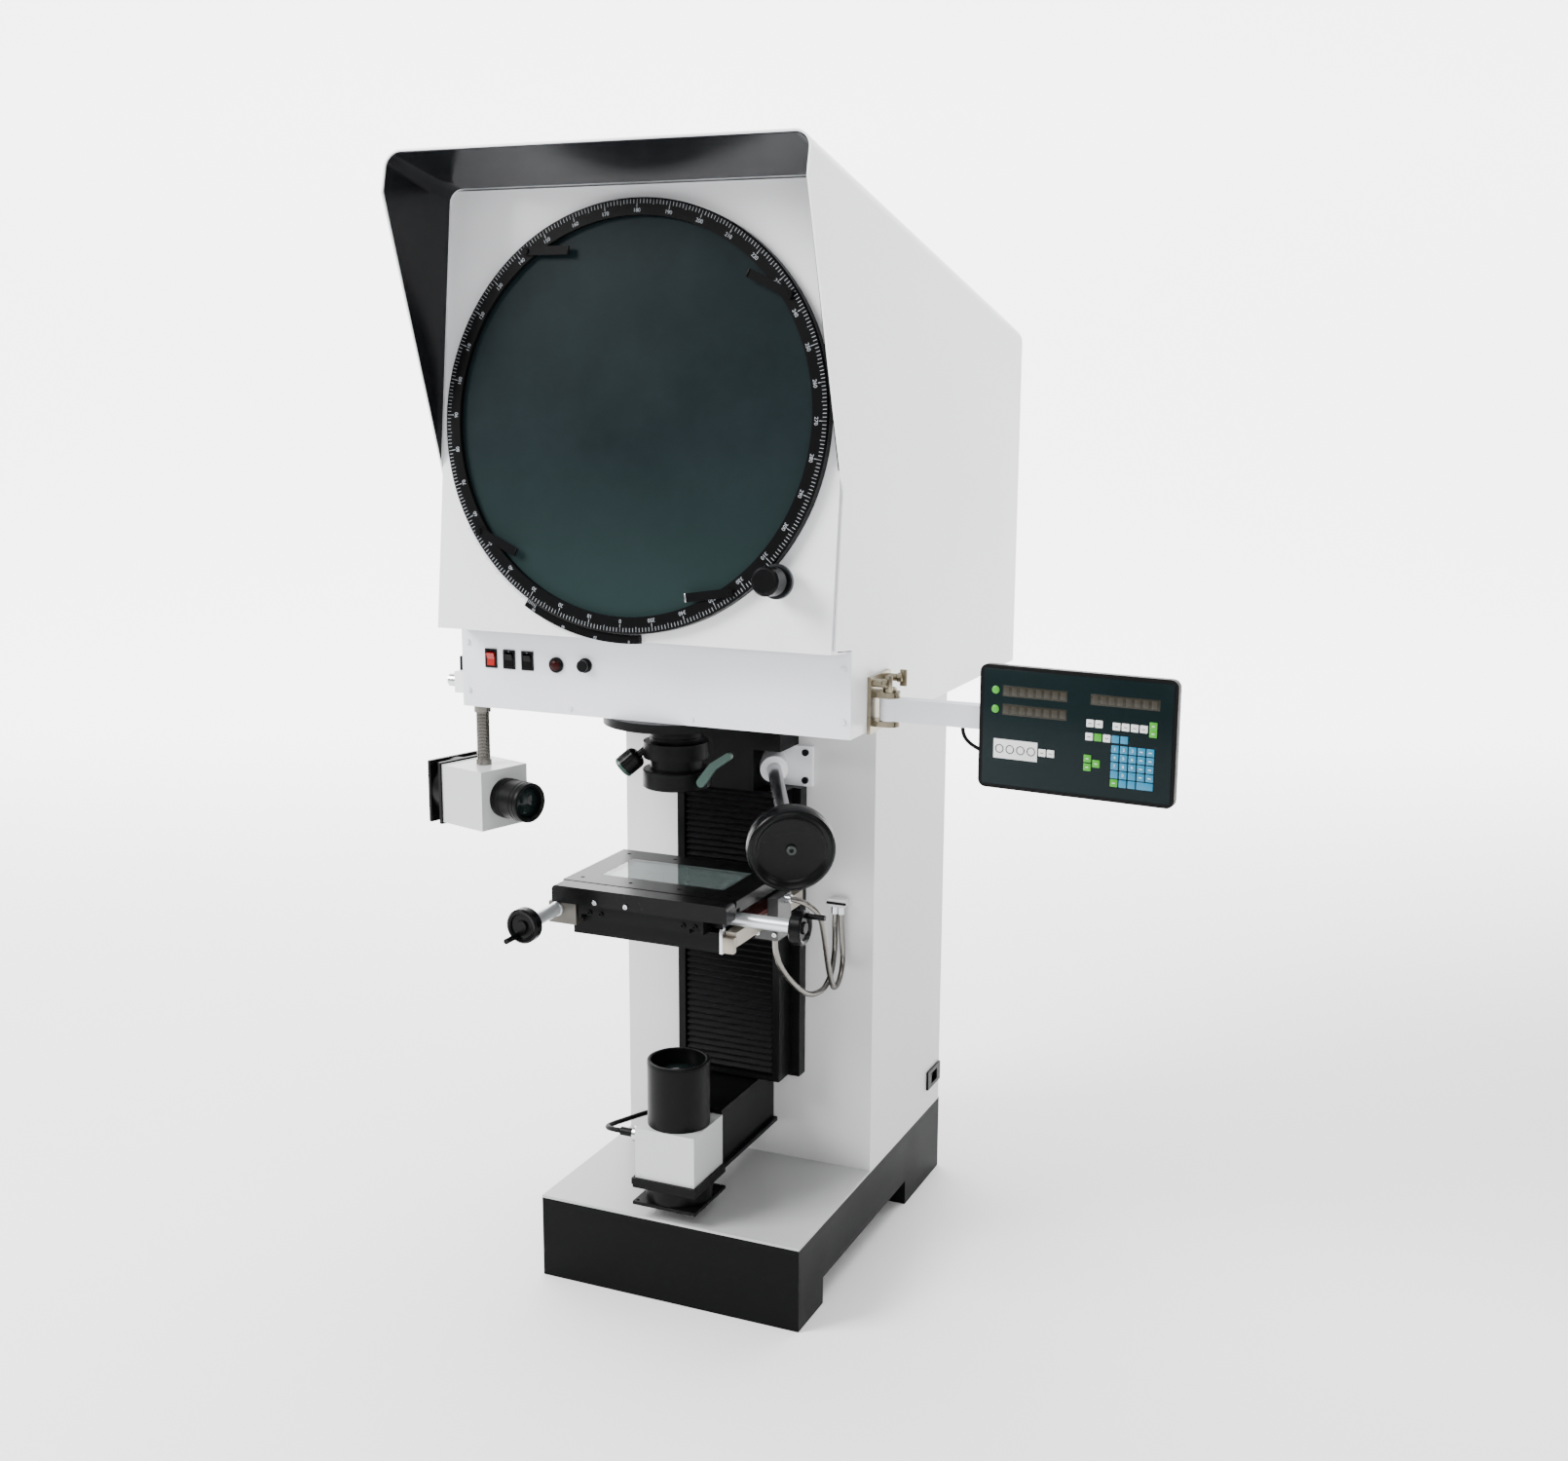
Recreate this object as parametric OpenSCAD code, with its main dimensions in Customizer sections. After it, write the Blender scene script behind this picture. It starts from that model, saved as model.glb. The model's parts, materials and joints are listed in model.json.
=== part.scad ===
// Vertical optical comparator: a profile projector with a tilted round screen under a visor,
// a cross-slide stage, two lamp houses and a digital readout on a swinging arm.
// Millimetres, +Z up. The origin is where the vertical optical axis meets the floor; the screen faces -Y.

/* [Base and column] */
// Width of the base and of the column on it
base_w = 330; // [320:1:360]
// Depth of the column, front to back
column_d = 260; // [250:1:300]
// Distance from the optical axis back to the front of the column
column_y = 187; // [185:1:195]
// Height of the base
base_h = 98; // [80:1:105]
// Distance from the optical axis forward to the front of the base
base_front = 33; // [30:1:45]
// Length of the front foot, ahead of the cross channel
foot_front = 72; // [60:1:90]
// Length of the rear foot, behind the cross channel
foot_rear = 130; // [100:1:160]
// Height of the cross channel under the base
channel_h = 32; // [20:1:45]
// Thickness of the light plate on the base
base_plate_t = 3; // [2:0.5:5]
// Wall of the column
column_wall = 6; // [4:0.5:8]
// Thickness of the screwed covers at the back
cover_t = 3; // [2:0.5:5]

/* [Head] */
// Height of the head's underside above the floor
head_floor = 690; // [685:1:720]
// Distance from the optical axis back to the rear of the head
head_back = 513; // [500:1:540]
// Drop of the roof from the visor's top edge to the rear
roof_fall = 161; // [120:1:170]
// Distance from the optical axis forward to the visor's top edge
visor_reach = 176; // [165:1:190]
// Height of the visor's top edge above the screen plate
visor_rise = 30.9; // [28:0.1:40]
// Length of the visor's front edge, square to the roof
visor_lip = 42; // [30:1:50]
// Radius of the roof's long edges
roof_r = 18; // [12:1:24]
// Sheet thickness of the head
sheet_t = 2; // [1.5:0.1:3]
// Distance from the optical axis forward to the control panel's face
panel_reach = 66; // [62:1:72]
// Thickness of the control panel
panel_t = 2; // [1.5:0.1:3]

/* [Screen] */
// Angle by which the screen leans back
screen_tilt = 6.4; // [4:0.1:8]
// Distance from the optical axis forward to the screen plate's lower edge
plate_reach = 115; // [112:1:120]
// Height of the screen plate's lower edge above the head's underside
chin_rise = 94; // [92:1:100]
// Width of the screen plate below the ring
plate_below = 7.2; // [6:0.1:9]
// Width of the screen plate above the ring
plate_above = 14.8; // [13:0.1:18]
// Thickness of the screen plate
plate_t = 4; // [3:0.5:5]
// Outer radius of the protractor ring
ring_r = 219.5; // [218:0.5:220]
// Width of the ring's face
ring_w = 17.5; // [16.5:0.5:21]
// Clearance from the ring to the outside of the head
side_clear = 12.5; // [11.5:0.5:20]
// Height of the ring above the screen plate
ring_h = 12; // [10:0.5:14]
// Thickness of the screen glass
glass_t = 6; // [4:0.5:7]

/* [Optics] */
// Radius of the lens flange under the head
flange_r = 80; // [70:1:85]
// Radius of the lens barrel
barrel_r = 29; // [26:0.5:30]
// Width of the lens end ring round the barrel
end_ring_w = 8.5; // [7:0.5:10]
// Length of the lens below the head
lens_drop = 83; // [75:1:90]
// Side of the lower lamp house
lamp_w = 75; // [70:1:76]
// Height of the lower lamp house
lamp_h = 60; // [55:1:62]
// Height of the lower lamp house above the base plate
lamp_rise = 49; // [45:1:55]
// Edge of the lower lamp house round its barrel
lamp_edge = 1.5; // [1:0.5:4]
// Length of the lower lamp barrel
lamp_barrel_l = 76; // [60:1:80]
// Side of the lower lamp's fan
fan_w = 80; // [76:1:84]
// Depth of a fan frame
fan_t = 25; // [20:1:26]
// Side of the surface lamp house
surface_w = 67; // [62:1:70]
// Radius of the surface lamp barrel
surface_barrel_r = 22; // [18:0.5:24]
// Length of the surface lamp barrel
surface_barrel_l = 42; // [35:1:45]

/* [Slideway and stage] */
// Half width of the slideway housing
guide_half = 67; // [66:0.5:72]
// Depth of the slideway housing in front of the column
guide_d = 54; // [50:1:58]
// Free height between the lens and the stage
work_gap = 102; // [101:1:110]
// Width of the stage table
table_w = 212; // [206:1:218]
// Depth of the stage table behind its groove
table_d = 140; // [138:1:150]
// Width of the stage glass
stage_glass_w = 150; // [130:1:156]
// Depth of the stage glass
stage_glass_d = 73; // [66:1:78]
// Radius of the Z handwheel
z_wheel_r = 48; // [42:1:48]
// Radius of the X and Y handwheels
small_wheel_r = 19; // [16:0.5:19]
// Radius of the X and Y drive tubes
drive_tube_r = 7.5; // [7:0.1:7.6]

/* [Readout] */
// Width of the readout case
readout_w = 201; // [190:1:230]
// Height of the readout case
readout_h = 124; // [110:1:140]
// Depth of the readout case
readout_t = 34; // [28:1:40]
// Length of the readout arm between its pins
arm_l = 138; // [120:1:160]
// Height of the readout arm above the head's underside
arm_rise = 23; // [20:1:30]
// Height of the readout arm's section
arm_h = 24; // [20:1:26]
// Thickness of the readout arm's section
arm_t = 16; // [12:1:18]

/* [Fits] */
// Radial clearance of a turning fit
run_fit = 0.05; // [0.03:0.01:0.08]
// Clearance between sliding faces
slide_fit = 0.3; // [0.2:0.05:0.4]

/* [Hidden] */
$fn = 64;

// Heights and widths that follow from the sizes above
base_back = column_y + column_d;
sight_r = ring_r - ring_w;
head_w = 2 * (ring_r + side_clear);
plate_low = head_floor + chin_rise;
plate_len = 2 * ring_r + plate_below + plate_above;
visor_top = plate_low + plate_len * cos(screen_tilt) + visor_rise;
rear_top = visor_top - roof_fall;
end_ring_r = barrel_r + end_ring_w;
lens_low = head_floor - lens_drop;
stage_top = lens_low - work_gap;
guide_front = column_y - guide_d;
lamp_low = base_h + base_plate_t + lamp_rise;
lamp_barrel_r = lamp_w / 2 - lamp_edge;
lamp_barrel_top = lamp_low + lamp_h + lamp_barrel_l;
arm_mid = head_floor + arm_rise;

module block(x0, x1, y0, y1, z0, z1) {
    translate([x0, y0, z0]) cube([x1 - x0, y1 - y0, z1 - z0]);
}
module wide(w, y0, y1, z0, z1) {
    block(-w / 2, w / 2, y0, y1, z0, z1);
}
module both_sides() {
    children();
    mirror([1, 0, 0]) children();
}
module tube(r_out, r_in, h) {
    difference() {
        cylinder(r = r_out, h = h);
        translate([0, 0, -1]) cylinder(r = r_in, h = h + 2);
    }
}
// A cylinder along +X or +Y from a start point
module rod_x(p, r, l) {
    translate(p) rotate([0, 90, 0]) cylinder(r = r, h = l);
}
module rod_y(p, r, l) {
    translate(p) rotate([-90, 0, 0]) cylinder(r = r, h = l);
}

module base_casting() color([0.09, 0.09, 0.1]) difference() {
    wide(base_w, -base_front, base_back, 0, base_h);
    wide(base_w + 2, foot_front - base_front, base_back - foot_rear, -1, channel_h);
}
module base_plate() color([0.78, 0.79, 0.79])
    wide(base_w, -base_front, column_y - slide_fit, base_h, base_h + base_plate_t);

// The Z handwheel's shaft leaves the boss face at this point, turned to the right and dipping
boss_at = [guide_half - 16, column_y - 35, head_floor - 91];
boss_r = 16.5;
shaft_yaw = 28.65;
shaft_dip = 9.7;
shaft_r = 8.5;
shaft_l = 219.6;
module along_shaft() {
    translate(boss_at) rotate([0, 0, shaft_yaw]) rotate([90 + shaft_dip, 0, 0]) children();
}
// The upright lead screw stands inside the column, where the shaft's line reaches it
screw_y = column_y + column_wall + 15;
shaft_run = (screw_y - boss_at.y) / (cos(shaft_yaw) * cos(shaft_dip));
screw_x = boss_at.x - shaft_run * sin(shaft_yaw) * cos(shaft_dip);
screw_top = boss_at.z + shaft_run * sin(shaft_dip);
screw_r = 7;
z_travel = 90;
nut_half = 10;
nut_z = stage_top - 68;
slot_half = 11;
module nut_slot() {
    block(screw_x - slot_half, screw_x + slot_half, guide_front, column_y + column_wall + 1,
          nut_z - nut_half - z_travel - 6, nut_z + nut_half + 6);
}
inlet_y = base_back - 30;
inlet_z = base_h + 42;
inlet_w = 27;
inlet_h = 20;
module column_shell() color([0.87, 0.88, 0.88]) difference() {
    wide(base_w, column_y, base_back - cover_t, base_h, head_floor);
    difference() {
        wide(base_w - 2 * column_wall, column_y + column_wall, base_back,
             base_h + column_wall, head_floor - column_wall);
        for (z = [bearing_low, bearing_high])
            block(screw_x - 14, screw_x + 14, column_y + column_wall - 1, screw_y + 14, z, z + bearing_block_h);
    }
    translate([screw_x, screw_y, bearing_low + bearing_floor])
        cylinder(r = screw_r + run_fit, h = bearing_high);
    nut_slot();
    along_shaft() translate([0, 0, -shaft_run]) {
        cylinder(r = shaft_r + slide_fit, h = shaft_run);
        cylinder(r = bevel_far * tan(bevel_angle) + 1, h = bevel_far + 1);
    }
    block(base_w / 2 - column_wall - 1, base_w / 2 + 1, inlet_y - inlet_w / 2 - slide_fit,
          inlet_y + inlet_w / 2 + slide_fit, inlet_z - inlet_h / 2 - slide_fit,
          inlet_z + inlet_h / 2 + slide_fit);
}
louvre_w = 70;
louvre_h = 5;
louvre_step = 14;
module louvres(y, z_first, rows) {
    for (row = [0 : rows - 1], side = [-1, 1])
        block(side * louvre_w * 0.7 - louvre_w / 2, side * louvre_w * 0.7 + louvre_w / 2,
              y - 1, y + cover_t + 1,
              z_first + row * louvre_step, z_first + row * louvre_step + louvre_h);
}
cover_edge = 12;
module power_inlet() {
    flange_w = 48;
    flange_t = 3;
    depth = 24;
    wall = 2.5;
    difference() {
        union() {
            block(base_w / 2, base_w / 2 + flange_t, inlet_y - flange_w / 2, inlet_y + flange_w / 2,
                  inlet_z - inlet_h / 2 - wall, inlet_z + inlet_h / 2 + wall);
            block(base_w / 2 - depth, base_w / 2, inlet_y - inlet_w / 2, inlet_y + inlet_w / 2,
                  inlet_z - inlet_h / 2, inlet_z + inlet_h / 2);
        }
        block(base_w / 2 - depth + 6, base_w / 2 + flange_t + 1, inlet_y - inlet_w / 2 + wall,
              inlet_y + inlet_w / 2 - wall, inlet_z - inlet_h / 2 + wall, inlet_z + inlet_h / 2 - wall);
    }
    for (blade = [[-7, -2], [7, -2], [0, 3]])
        block(base_w / 2 - depth + 5, base_w / 2 - 2, inlet_y + blade.x - 1, inlet_y + blade.x + 1,
              inlet_z + blade.y - 2, inlet_z + blade.y + 2);
}
// Head outline in the Y-Z plane
panel_back = panel_t - panel_reach;
roof_slope = atan((visor_top - rear_top) / (visor_reach + head_back));
tip = [-visor_reach, visor_top];
lip = [tip.x - visor_lip * sin(roof_slope), tip.y - visor_lip * cos(roof_slope)];
cheek_set = 5;
wing_low = plate_low + 159;
chin_low = plate_low + 3;
function plate_y(z) = -plate_reach + (z - plate_low) * tan(screen_tilt);
wing = [plate_y(wing_low) + cheek_set, wing_low];
chin = [plate_y(chin_low) + cheek_set, chin_low];
chin_back = [panel_back, chin_low - (panel_back - chin.x) * tan(screen_tilt)];
head_rear = head_back - cover_t;
function roof_z(y) = visor_top - (y - tip.x) * tan(roof_slope);
inner_w = head_w - 2 * sheet_t;
far = 400;

module side_extrude(w) {
    rotate([90, 0, 90]) linear_extrude(w, center = true) children();
}
// A long bar under the roof plane with its two upper edges rounded
module roof_bar(w, r, drop) {
    translate([0, tip.x, tip.y - drop]) rotate([-roof_slope, 0, 0]) rotate([90, 0, 0])
        linear_extrude(6 * far, center = true) {
            translate([-w / 2, -3 * far]) square([w, 3 * far - r]);
            translate([r - w / 2, -2 * r]) square([w - 2 * r, 2 * r]);
            for (side = [-1, 1]) translate([side * (w / 2 - r), -r]) circle(r);
        }
}
lens_hole_r = barrel_r - 4;
vent_edge = 26;
module head_shell() color([0.92, 0.93, 0.93]) difference() {
    intersection() {
        side_extrude(head_w) polygon([
            [panel_back, head_floor], [head_rear, head_floor], [head_rear, roof_z(head_rear)],
            tip, lip, wing, chin, chin_back
        ]);
        roof_bar(head_w, roof_r, 0);
    }
    intersection() {
        side_extrude(inner_w) polygon([
            [panel_back + sheet_t, head_floor + sheet_t], [head_rear - sheet_t, head_floor + sheet_t],
            [head_rear - sheet_t, visor_top], [-far, visor_top + far], [-far, chin_back.y - sheet_t],
            [panel_back + sheet_t, chin_back.y - sheet_t]
        ]);
        roof_bar(inner_w, roof_r - sheet_t, sheet_t);
    }
    cylinder(r = lens_hole_r, h = head_floor + 2 * sheet_t);
    wide(head_w - 2 * vent_edge, head_rear - sheet_t - 1, head_rear + 1,
         head_floor + vent_edge, rear_top - vent_edge);
    block(switch_x - 14, fuse_x + 14, panel_back - 1, panel_back + sheet_t + 1, switch_z - 16, switch_z + 16);
}
module rear_covers() color([0.89, 0.9, 0.9]) {
    difference() {
        wide(base_w - column_wall, base_back - cover_t, base_back,
             base_h + column_wall / 2, head_floor - column_wall / 2);
        louvres(base_back - cover_t, base_h + 60, 6);
    }
    difference() {
        wide(head_w - 2 * cover_edge, head_rear, head_back, head_floor + cover_edge, rear_top - cover_edge);
        louvres(head_rear, head_floor + 60, 8);
    }
}
liner_t = 1;
liner_gap = 0.1;
module visor_lining() color([0.04, 0.04, 0.045]) difference() {
    intersection() {
        side_extrude(inner_w - 2 * liner_gap) polygon([
            tip + [2, 0], lip + [2, 0], wing + [-7, 20],
            [plate_y(visor_top) - 3, visor_top], [plate_y(visor_top) - 3, visor_top + 10]
        ]);
        roof_bar(inner_w - 2 * liner_gap, roof_r - sheet_t - liner_gap, sheet_t + liner_gap);
    }
    roof_bar(inner_w - 2 * liner_t, roof_r - sheet_t - liner_t, sheet_t + liner_t);
}

// Screen frame: local Z points out of the screen, local Y up its slope, origin at the ring's centre
ring_up = ring_r + plate_below;
ring_mid = [0, -plate_reach + ring_up * sin(screen_tilt), plate_low + ring_up * cos(screen_tilt)];
module at_screen() {
    translate(ring_mid) rotate([90 - screen_tilt, 0, 0]) children();
}
sleeve_r = sight_r + 8;
seat_r = sight_r + 4;
bearing_r = ring_r + 2.5;
bearing_back = 18;
keeper_r = ring_r - 2.5;
keeper_t = 3.6;
ring_gap = 0.4;
plate_w = inner_w - 1;
edge_t = 2;
// Ring knob: its shaft stands just outside the ring
knob_radius = ring_r + 15.5;
knob_angle = -42;
knob_at = [knob_radius * cos(knob_angle), knob_radius * sin(knob_angle), 0];
knob_shaft_r = 4;
knob_bush_r = 8;
chin_gap = 7.26;
plate_gap = 0.5;
module screen_plate() color([0.9, 0.91, 0.91]) intersection() {
    chin_depth = (plate_reach - panel_reach - chin_gap) / cos(screen_tilt);
    side_depth = 18;
    roof_bar(inner_w - plate_gap, roof_r - sheet_t - plate_gap, sheet_t + plate_gap);
    at_screen() {
        difference() {
            block(-plate_w / 2, plate_w / 2, -ring_up, plate_len - ring_up, -plate_t, 0);
            translate([0, 0, -plate_t - 1]) cylinder(r = sleeve_r + 1, h = plate_t + 2);
            translate(knob_at - [0, 0, plate_t + 1]) cylinder(r = knob_bush_r, h = plate_t + 2);
        }
        block(-plate_w / 2, plate_w / 2, -ring_up, edge_t - ring_up, -chin_depth, -plate_t);
        both_sides() block(plate_w / 2 - edge_t, plate_w / 2, edge_t - ring_up, plate_len - ring_up,
                           -side_depth, -plate_t);
    }
}
module ring_bearing() color([0.55, 0.56, 0.58]) at_screen() {
    translate([0, 0, -bearing_back]) tube(bearing_r, sleeve_r + run_fit, bearing_back - plate_t);
    translate(knob_at - [0, 0, plate_t + 8]) tube(knob_bush_r, knob_shaft_r + run_fit, plate_t + 14);
}
clip_pivot_r = 2;
clip_ring_r = ring_r - 8.5;
// Each clip: its place round the ring and the way its leaf points
clip_places = [[127, 0], [35, 155], [-145, -24], [-54, 189]];
module protractor_ring() color([0.05, 0.05, 0.055]) at_screen() {
    difference() {
        rotate_extrude($fn = 128) polygon([
            [sight_r, glass_t], [seat_r, glass_t], [seat_r, -bearing_back - ring_gap],
            [sleeve_r, -bearing_back - ring_gap], [sleeve_r, ring_gap], [ring_r, ring_gap],
            [ring_r, ring_h - 1.5], [ring_r - 1.5, ring_h], [sight_r, ring_h]
        ]);
        for (place = clip_places) rotate([0, 0, place[0]])
            translate([clip_ring_r, 0, glass_t]) cylinder(r = clip_pivot_r + run_fit, h = ring_h);
    }
    translate([0, 0, -bearing_back - ring_gap - keeper_t]) tube(keeper_r, seat_r, keeper_t);
}
module screen_glass() color([0.25, 0.32, 0.3, 0.8]) at_screen() {
    cylinder(r = seat_r - slide_fit / 6, h = glass_t);
    translate([0, 0, -6]) tube(seat_r - slide_fit / 6, sight_r - 2, 6);
}
clip_l = 50;
clip_w = 9;
clip_t = 1.6;
module chart_clip(place) color([0.05, 0.05, 0.055]) at_screen() rotate([0, 0, place[0]])
    translate([clip_ring_r, 0, 0]) rotate([0, 0, place[1] - place[0]]) {
        translate([0, 0, glass_t + 0.5]) cylinder(r = clip_pivot_r, h = ring_h - glass_t + 3);
        translate([0, 0, ring_h + slide_fit]) {
            cylinder(r = clip_w / 2, h = clip_t);
            translate([0, -clip_w / 2, 0]) cube([clip_l, clip_w, clip_t]);
            translate([0, 0, clip_t]) cylinder(r = 3.4, h = 1.6);
        }
    }
module vernier_plate() color([0.05, 0.05, 0.055]) at_screen() rotate([0, 0, -121])
    rotate_extrude(angle = 36, $fn = 128) translate([ring_r + 1, 0]) square([9, 6]);
knob_disc_r = 17;
knob_r = 14.5;
roller_r = knob_radius - keeper_r - slide_fit;
module ring_knob() color([0.05, 0.05, 0.055]) at_screen() translate(knob_at) {
    translate([0, 0, -bearing_back - 7]) cylinder(r = knob_shaft_r, h = bearing_back + 30);
    translate([0, 0, -bearing_back - 7]) cylinder(r = roller_r, h = 7 - ring_gap);
    translate([0, 0, ring_h + 1]) rotate_extrude() polygon([
        [0, 0], [knob_disc_r, 0], [knob_disc_r, 5], [9, 6], [9, 11], [knob_r, 12], [knob_r, 31],
        [knob_r - 2, 33], [0, 33]
    ]);
}

// Control panel
panel_top = chin_back.y - 1;
switch_z = head_floor + 56;
switch_x = 38 - head_w / 2;
switch_step = 23.2;
pilot_x = switch_x + 83;
pilot_z = switch_z - 2;
fuse_x = switch_x + 119;
fuse_z = switch_z;
pilot_r = 6;
switch_w = 15;
switch_h = 21;
switch_lip = 1.5;
module switch_body(grow) {
    half = switch_h / 2 - 1.5 + grow / 2;
    wide(switch_w - 2 + grow, -panel_reach, 18 - panel_reach, -half, half);
}
module control_panel() color([0.88, 0.89, 0.9]) {
    difference() {
        wide(head_w, -panel_reach, panel_back, head_floor, panel_top);
        for (k = [0 : 2]) translate([switch_x + k * switch_step, -1, switch_z]) switch_body(0.2);
        rod_y([pilot_x, -panel_reach - 1, pilot_z], pilot_r + 0.1, panel_t + 2);
        rod_y([fuse_x, -panel_reach - 1, fuse_z], pilot_r + 0.1, panel_t + 2);
    }
    for (x = [-1, 1], z = [head_floor + 18, panel_top - 18])
        rod_y([x * (head_w / 2 - 8), -panel_reach - 1.2, z], 2.6, 1.2);
}
rocker_w = 9.4;
rocker_h = 14;
rocker_pin_r = 1;
rocker_set = 4;
module rocker_pin(r, l) {
    rod_x([-l / 2, rocker_set - panel_reach, 0], r, l);
}
module switch_bezels() color([0.04, 0.04, 0.045])
    for (k = [0 : 2]) translate([switch_x + k * switch_step, 0, switch_z]) difference() {
        union() {
            wide(switch_w, -panel_reach - switch_lip, -panel_reach, -switch_h / 2, switch_h / 2);
            switch_body(0);
        }
        wide(rocker_w + 1, -panel_reach - switch_lip - 1, 12 - panel_reach,
             -rocker_h / 2 - 1.2, rocker_h / 2 + 1.2);
        rocker_pin(rocker_pin_r + run_fit, switch_w - 2.8);
    }
// A rocker seen from its end: two slopes meet at the middle, and one half is pressed in at rest
rock_angle = 8;
module rocker(k, down) translate([switch_x + k * switch_step, 0, switch_z]) {
    translate([0, rocker_set - panel_reach, 0]) rotate([down * rock_angle, 0, 0])
    translate([0, panel_reach - rocker_set, 0]) {
        translate([-rocker_w / 2, 0, 0]) rotate([90, 0, 90]) linear_extrude(rocker_w) polygon([
            [rocker_set - panel_reach, -rocker_h / 2], [-panel_reach - 3, -rocker_h / 2],
            [-panel_reach - 1.6, 0],
            [-panel_reach - 3, rocker_h / 2], [rocker_set - panel_reach, rocker_h / 2], [8 - panel_reach, 0]
        ]);
        rocker_pin(rocker_pin_r, switch_w - 3);
    }
}
module rocker_red() color([0.8, 0.1, 0.07]) rocker(0, 1);
module rocker_left() color([0.05, 0.05, 0.055]) rocker(1, 1);
module rocker_right() color([0.05, 0.05, 0.055]) rocker(2, 1);
module pilot_lamp() translate([pilot_x, -panel_reach, pilot_z]) rotate([90, 0, 0])
    rotate_extrude() polygon([
        [0, -20], [pilot_r, -20], [pilot_r, 0], [8.6, 0], [8.6, 2.5], [7.4, 4], [6.2, 4], [5, 5.2],
        [3, 6], [0, 6.4]
    ]);
module fuse_holder() translate([fuse_x, -panel_reach, fuse_z]) rotate([90, 0, 0])
    rotate_extrude() polygon([
        [0, -24], [pilot_r, -24], [pilot_r, 0], [8, 0], [8, 2.5], [6.4, 3], [6.4, 9], [5.6, 10], [0, 10]
    ]);

module panel_fittings() color([0.06, 0.05, 0.05]) {
    pilot_lamp();
    fuse_holder();
}

// Inner optics: the beam turns back at the small mirror and forward at the large one
small_mirror_z = head_floor + 110;
small_mirror_w = 90;
small_mirror_l = 130;
small_mirror_tilt = 54;
large_mirror_y = head_back - 45;
large_mirror_z = ring_mid.z - 79.3;
large_mirror_w = 320;
large_mirror_h = 280;
mirror_t = 6;
module small_mirror_place() {
    translate([0, 0, small_mirror_z]) rotate([small_mirror_tilt, 0, 0]) children();
}
module mirrors() color([0.75, 0.8, 0.85]) {
    small_mirror_place() translate([-small_mirror_w / 2, -small_mirror_l / 2, 0])
        cube([small_mirror_w, small_mirror_l, mirror_t]);
    wide(large_mirror_w, large_mirror_y, large_mirror_y + mirror_t,
         large_mirror_z - large_mirror_h / 2, large_mirror_z + large_mirror_h / 2);
    mirror_holders();
}
module mirror_holders() {
    holder_t = 5;
    holder_low = head_floor + sheet_t;
    side_x = small_mirror_w / 2;
    back_y = large_mirror_y + mirror_t;
    back_w = large_mirror_w - 20;
    both_sides() difference() {
        block(side_x, side_x + holder_t, -45, 45, holder_low, small_mirror_z + 60);
        block(side_x - 1, side_x + holder_t + 1, -30, 30, holder_low + 20, small_mirror_z - 40);
    }
    wide(back_w, back_y, back_y + holder_t, holder_low, large_mirror_z + large_mirror_h / 2 - 10);
    wide(back_w, back_y + holder_t, head_rear - sheet_t - slide_fit, holder_low, holder_low + holder_t);
}

// Lens
flange_t = 10;
end_ring_h = 20;
collar_low = lens_low + 33;
collar_h = 18;
knob_dir = 203.6;
knob_dip = 40;
knob_stem_r = 4;
// The clamp knob's axis starts on the collar's outside and dips outwards
module knob_place() rotate([0, 0, knob_dir]) translate([end_ring_r - 1, 0, collar_low + collar_h / 3])
    rotate([0, 90 + knob_dip, 0]) children();
lever_at = [end_ring_r + 3, -20, lens_low + 11];
module lens_mount() color([0.06, 0.06, 0.065]) {
    translate([0, 0, head_floor - flange_t]) tube(flange_r, barrel_r, flange_t);
    difference() {
        translate([0, 0, collar_low]) tube(end_ring_r - 1, barrel_r, collar_h);
        knob_place() translate([0, 0, -12]) cylinder(r = knob_stem_r + run_fit, h = 24);
    }
}
module lens_barrel() color([0.07, 0.07, 0.075]) {
    translate([0, 0, lens_low]) rotate_extrude() polygon([
        [barrel_r - 4, 0], [end_ring_r - 1, 0], [end_ring_r, 1], [end_ring_r, end_ring_h - 1],
        [end_ring_r - 1, end_ring_h], [barrel_r, end_ring_h], [barrel_r, lens_drop], [barrel_r - 4, lens_drop]
    ]);
    difference() {
        block(end_ring_r - 8, lever_at.x + 5, lever_at.y + 4, lever_at.y + 10, lever_at.z - 6, lever_at.z + 6);
        cylinder(r = end_ring_r - 1, h = head_floor);
        rod_y([lever_at.x, lever_at.y - 10, lever_at.z], 2 + run_fit, 30);
    }
}
lens_edge = barrel_r - 4 - slide_fit;
module lens_glass() color([0.6, 0.7, 0.75, 0.5]) translate([0, 0, lens_low + 4]) rotate_extrude() polygon([
    [0, 0], [8, 0.4], [16, 1.6], [lens_edge, 4], [lens_edge, 9], [16, 11.4], [8, 12.6], [0, 13]
]);
module lens_knob() color([0.06, 0.06, 0.065]) knob_place() {
    translate([0, 0, -6]) cylinder(r = knob_stem_r, h = 16);
    rotate_extrude() polygon([
        [0, 6.5], [8, 6.5], [11, 8.5], [12, 10.5], [12, 30], [10.5, 31.5], [0, 31.5]
    ]);
}
module lens_lever() color([0.3, 0.38, 0.34]) {
    lever_t = 5;
    bend = [14, 19];
    end = [33, 32];
    translate([lever_at.x, lever_at.y + lever_t / 2, lever_at.z]) rotate([90, 0, 0]) {
        hull() {
            cylinder(r = 5, h = lever_t, $fn = 32);
            translate(bend) cylinder(r = 4.5, h = lever_t, $fn = 32);
        }
        hull() {
            translate(bend) cylinder(r = 4.5, h = lever_t, $fn = 32);
            translate(end) cylinder(r = 4, h = lever_t, $fn = 32);
        }
    }
    rod_y([lever_at.x, lever_at.y + lever_t / 2, lever_at.z], 2, 7.5);
}

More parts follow.
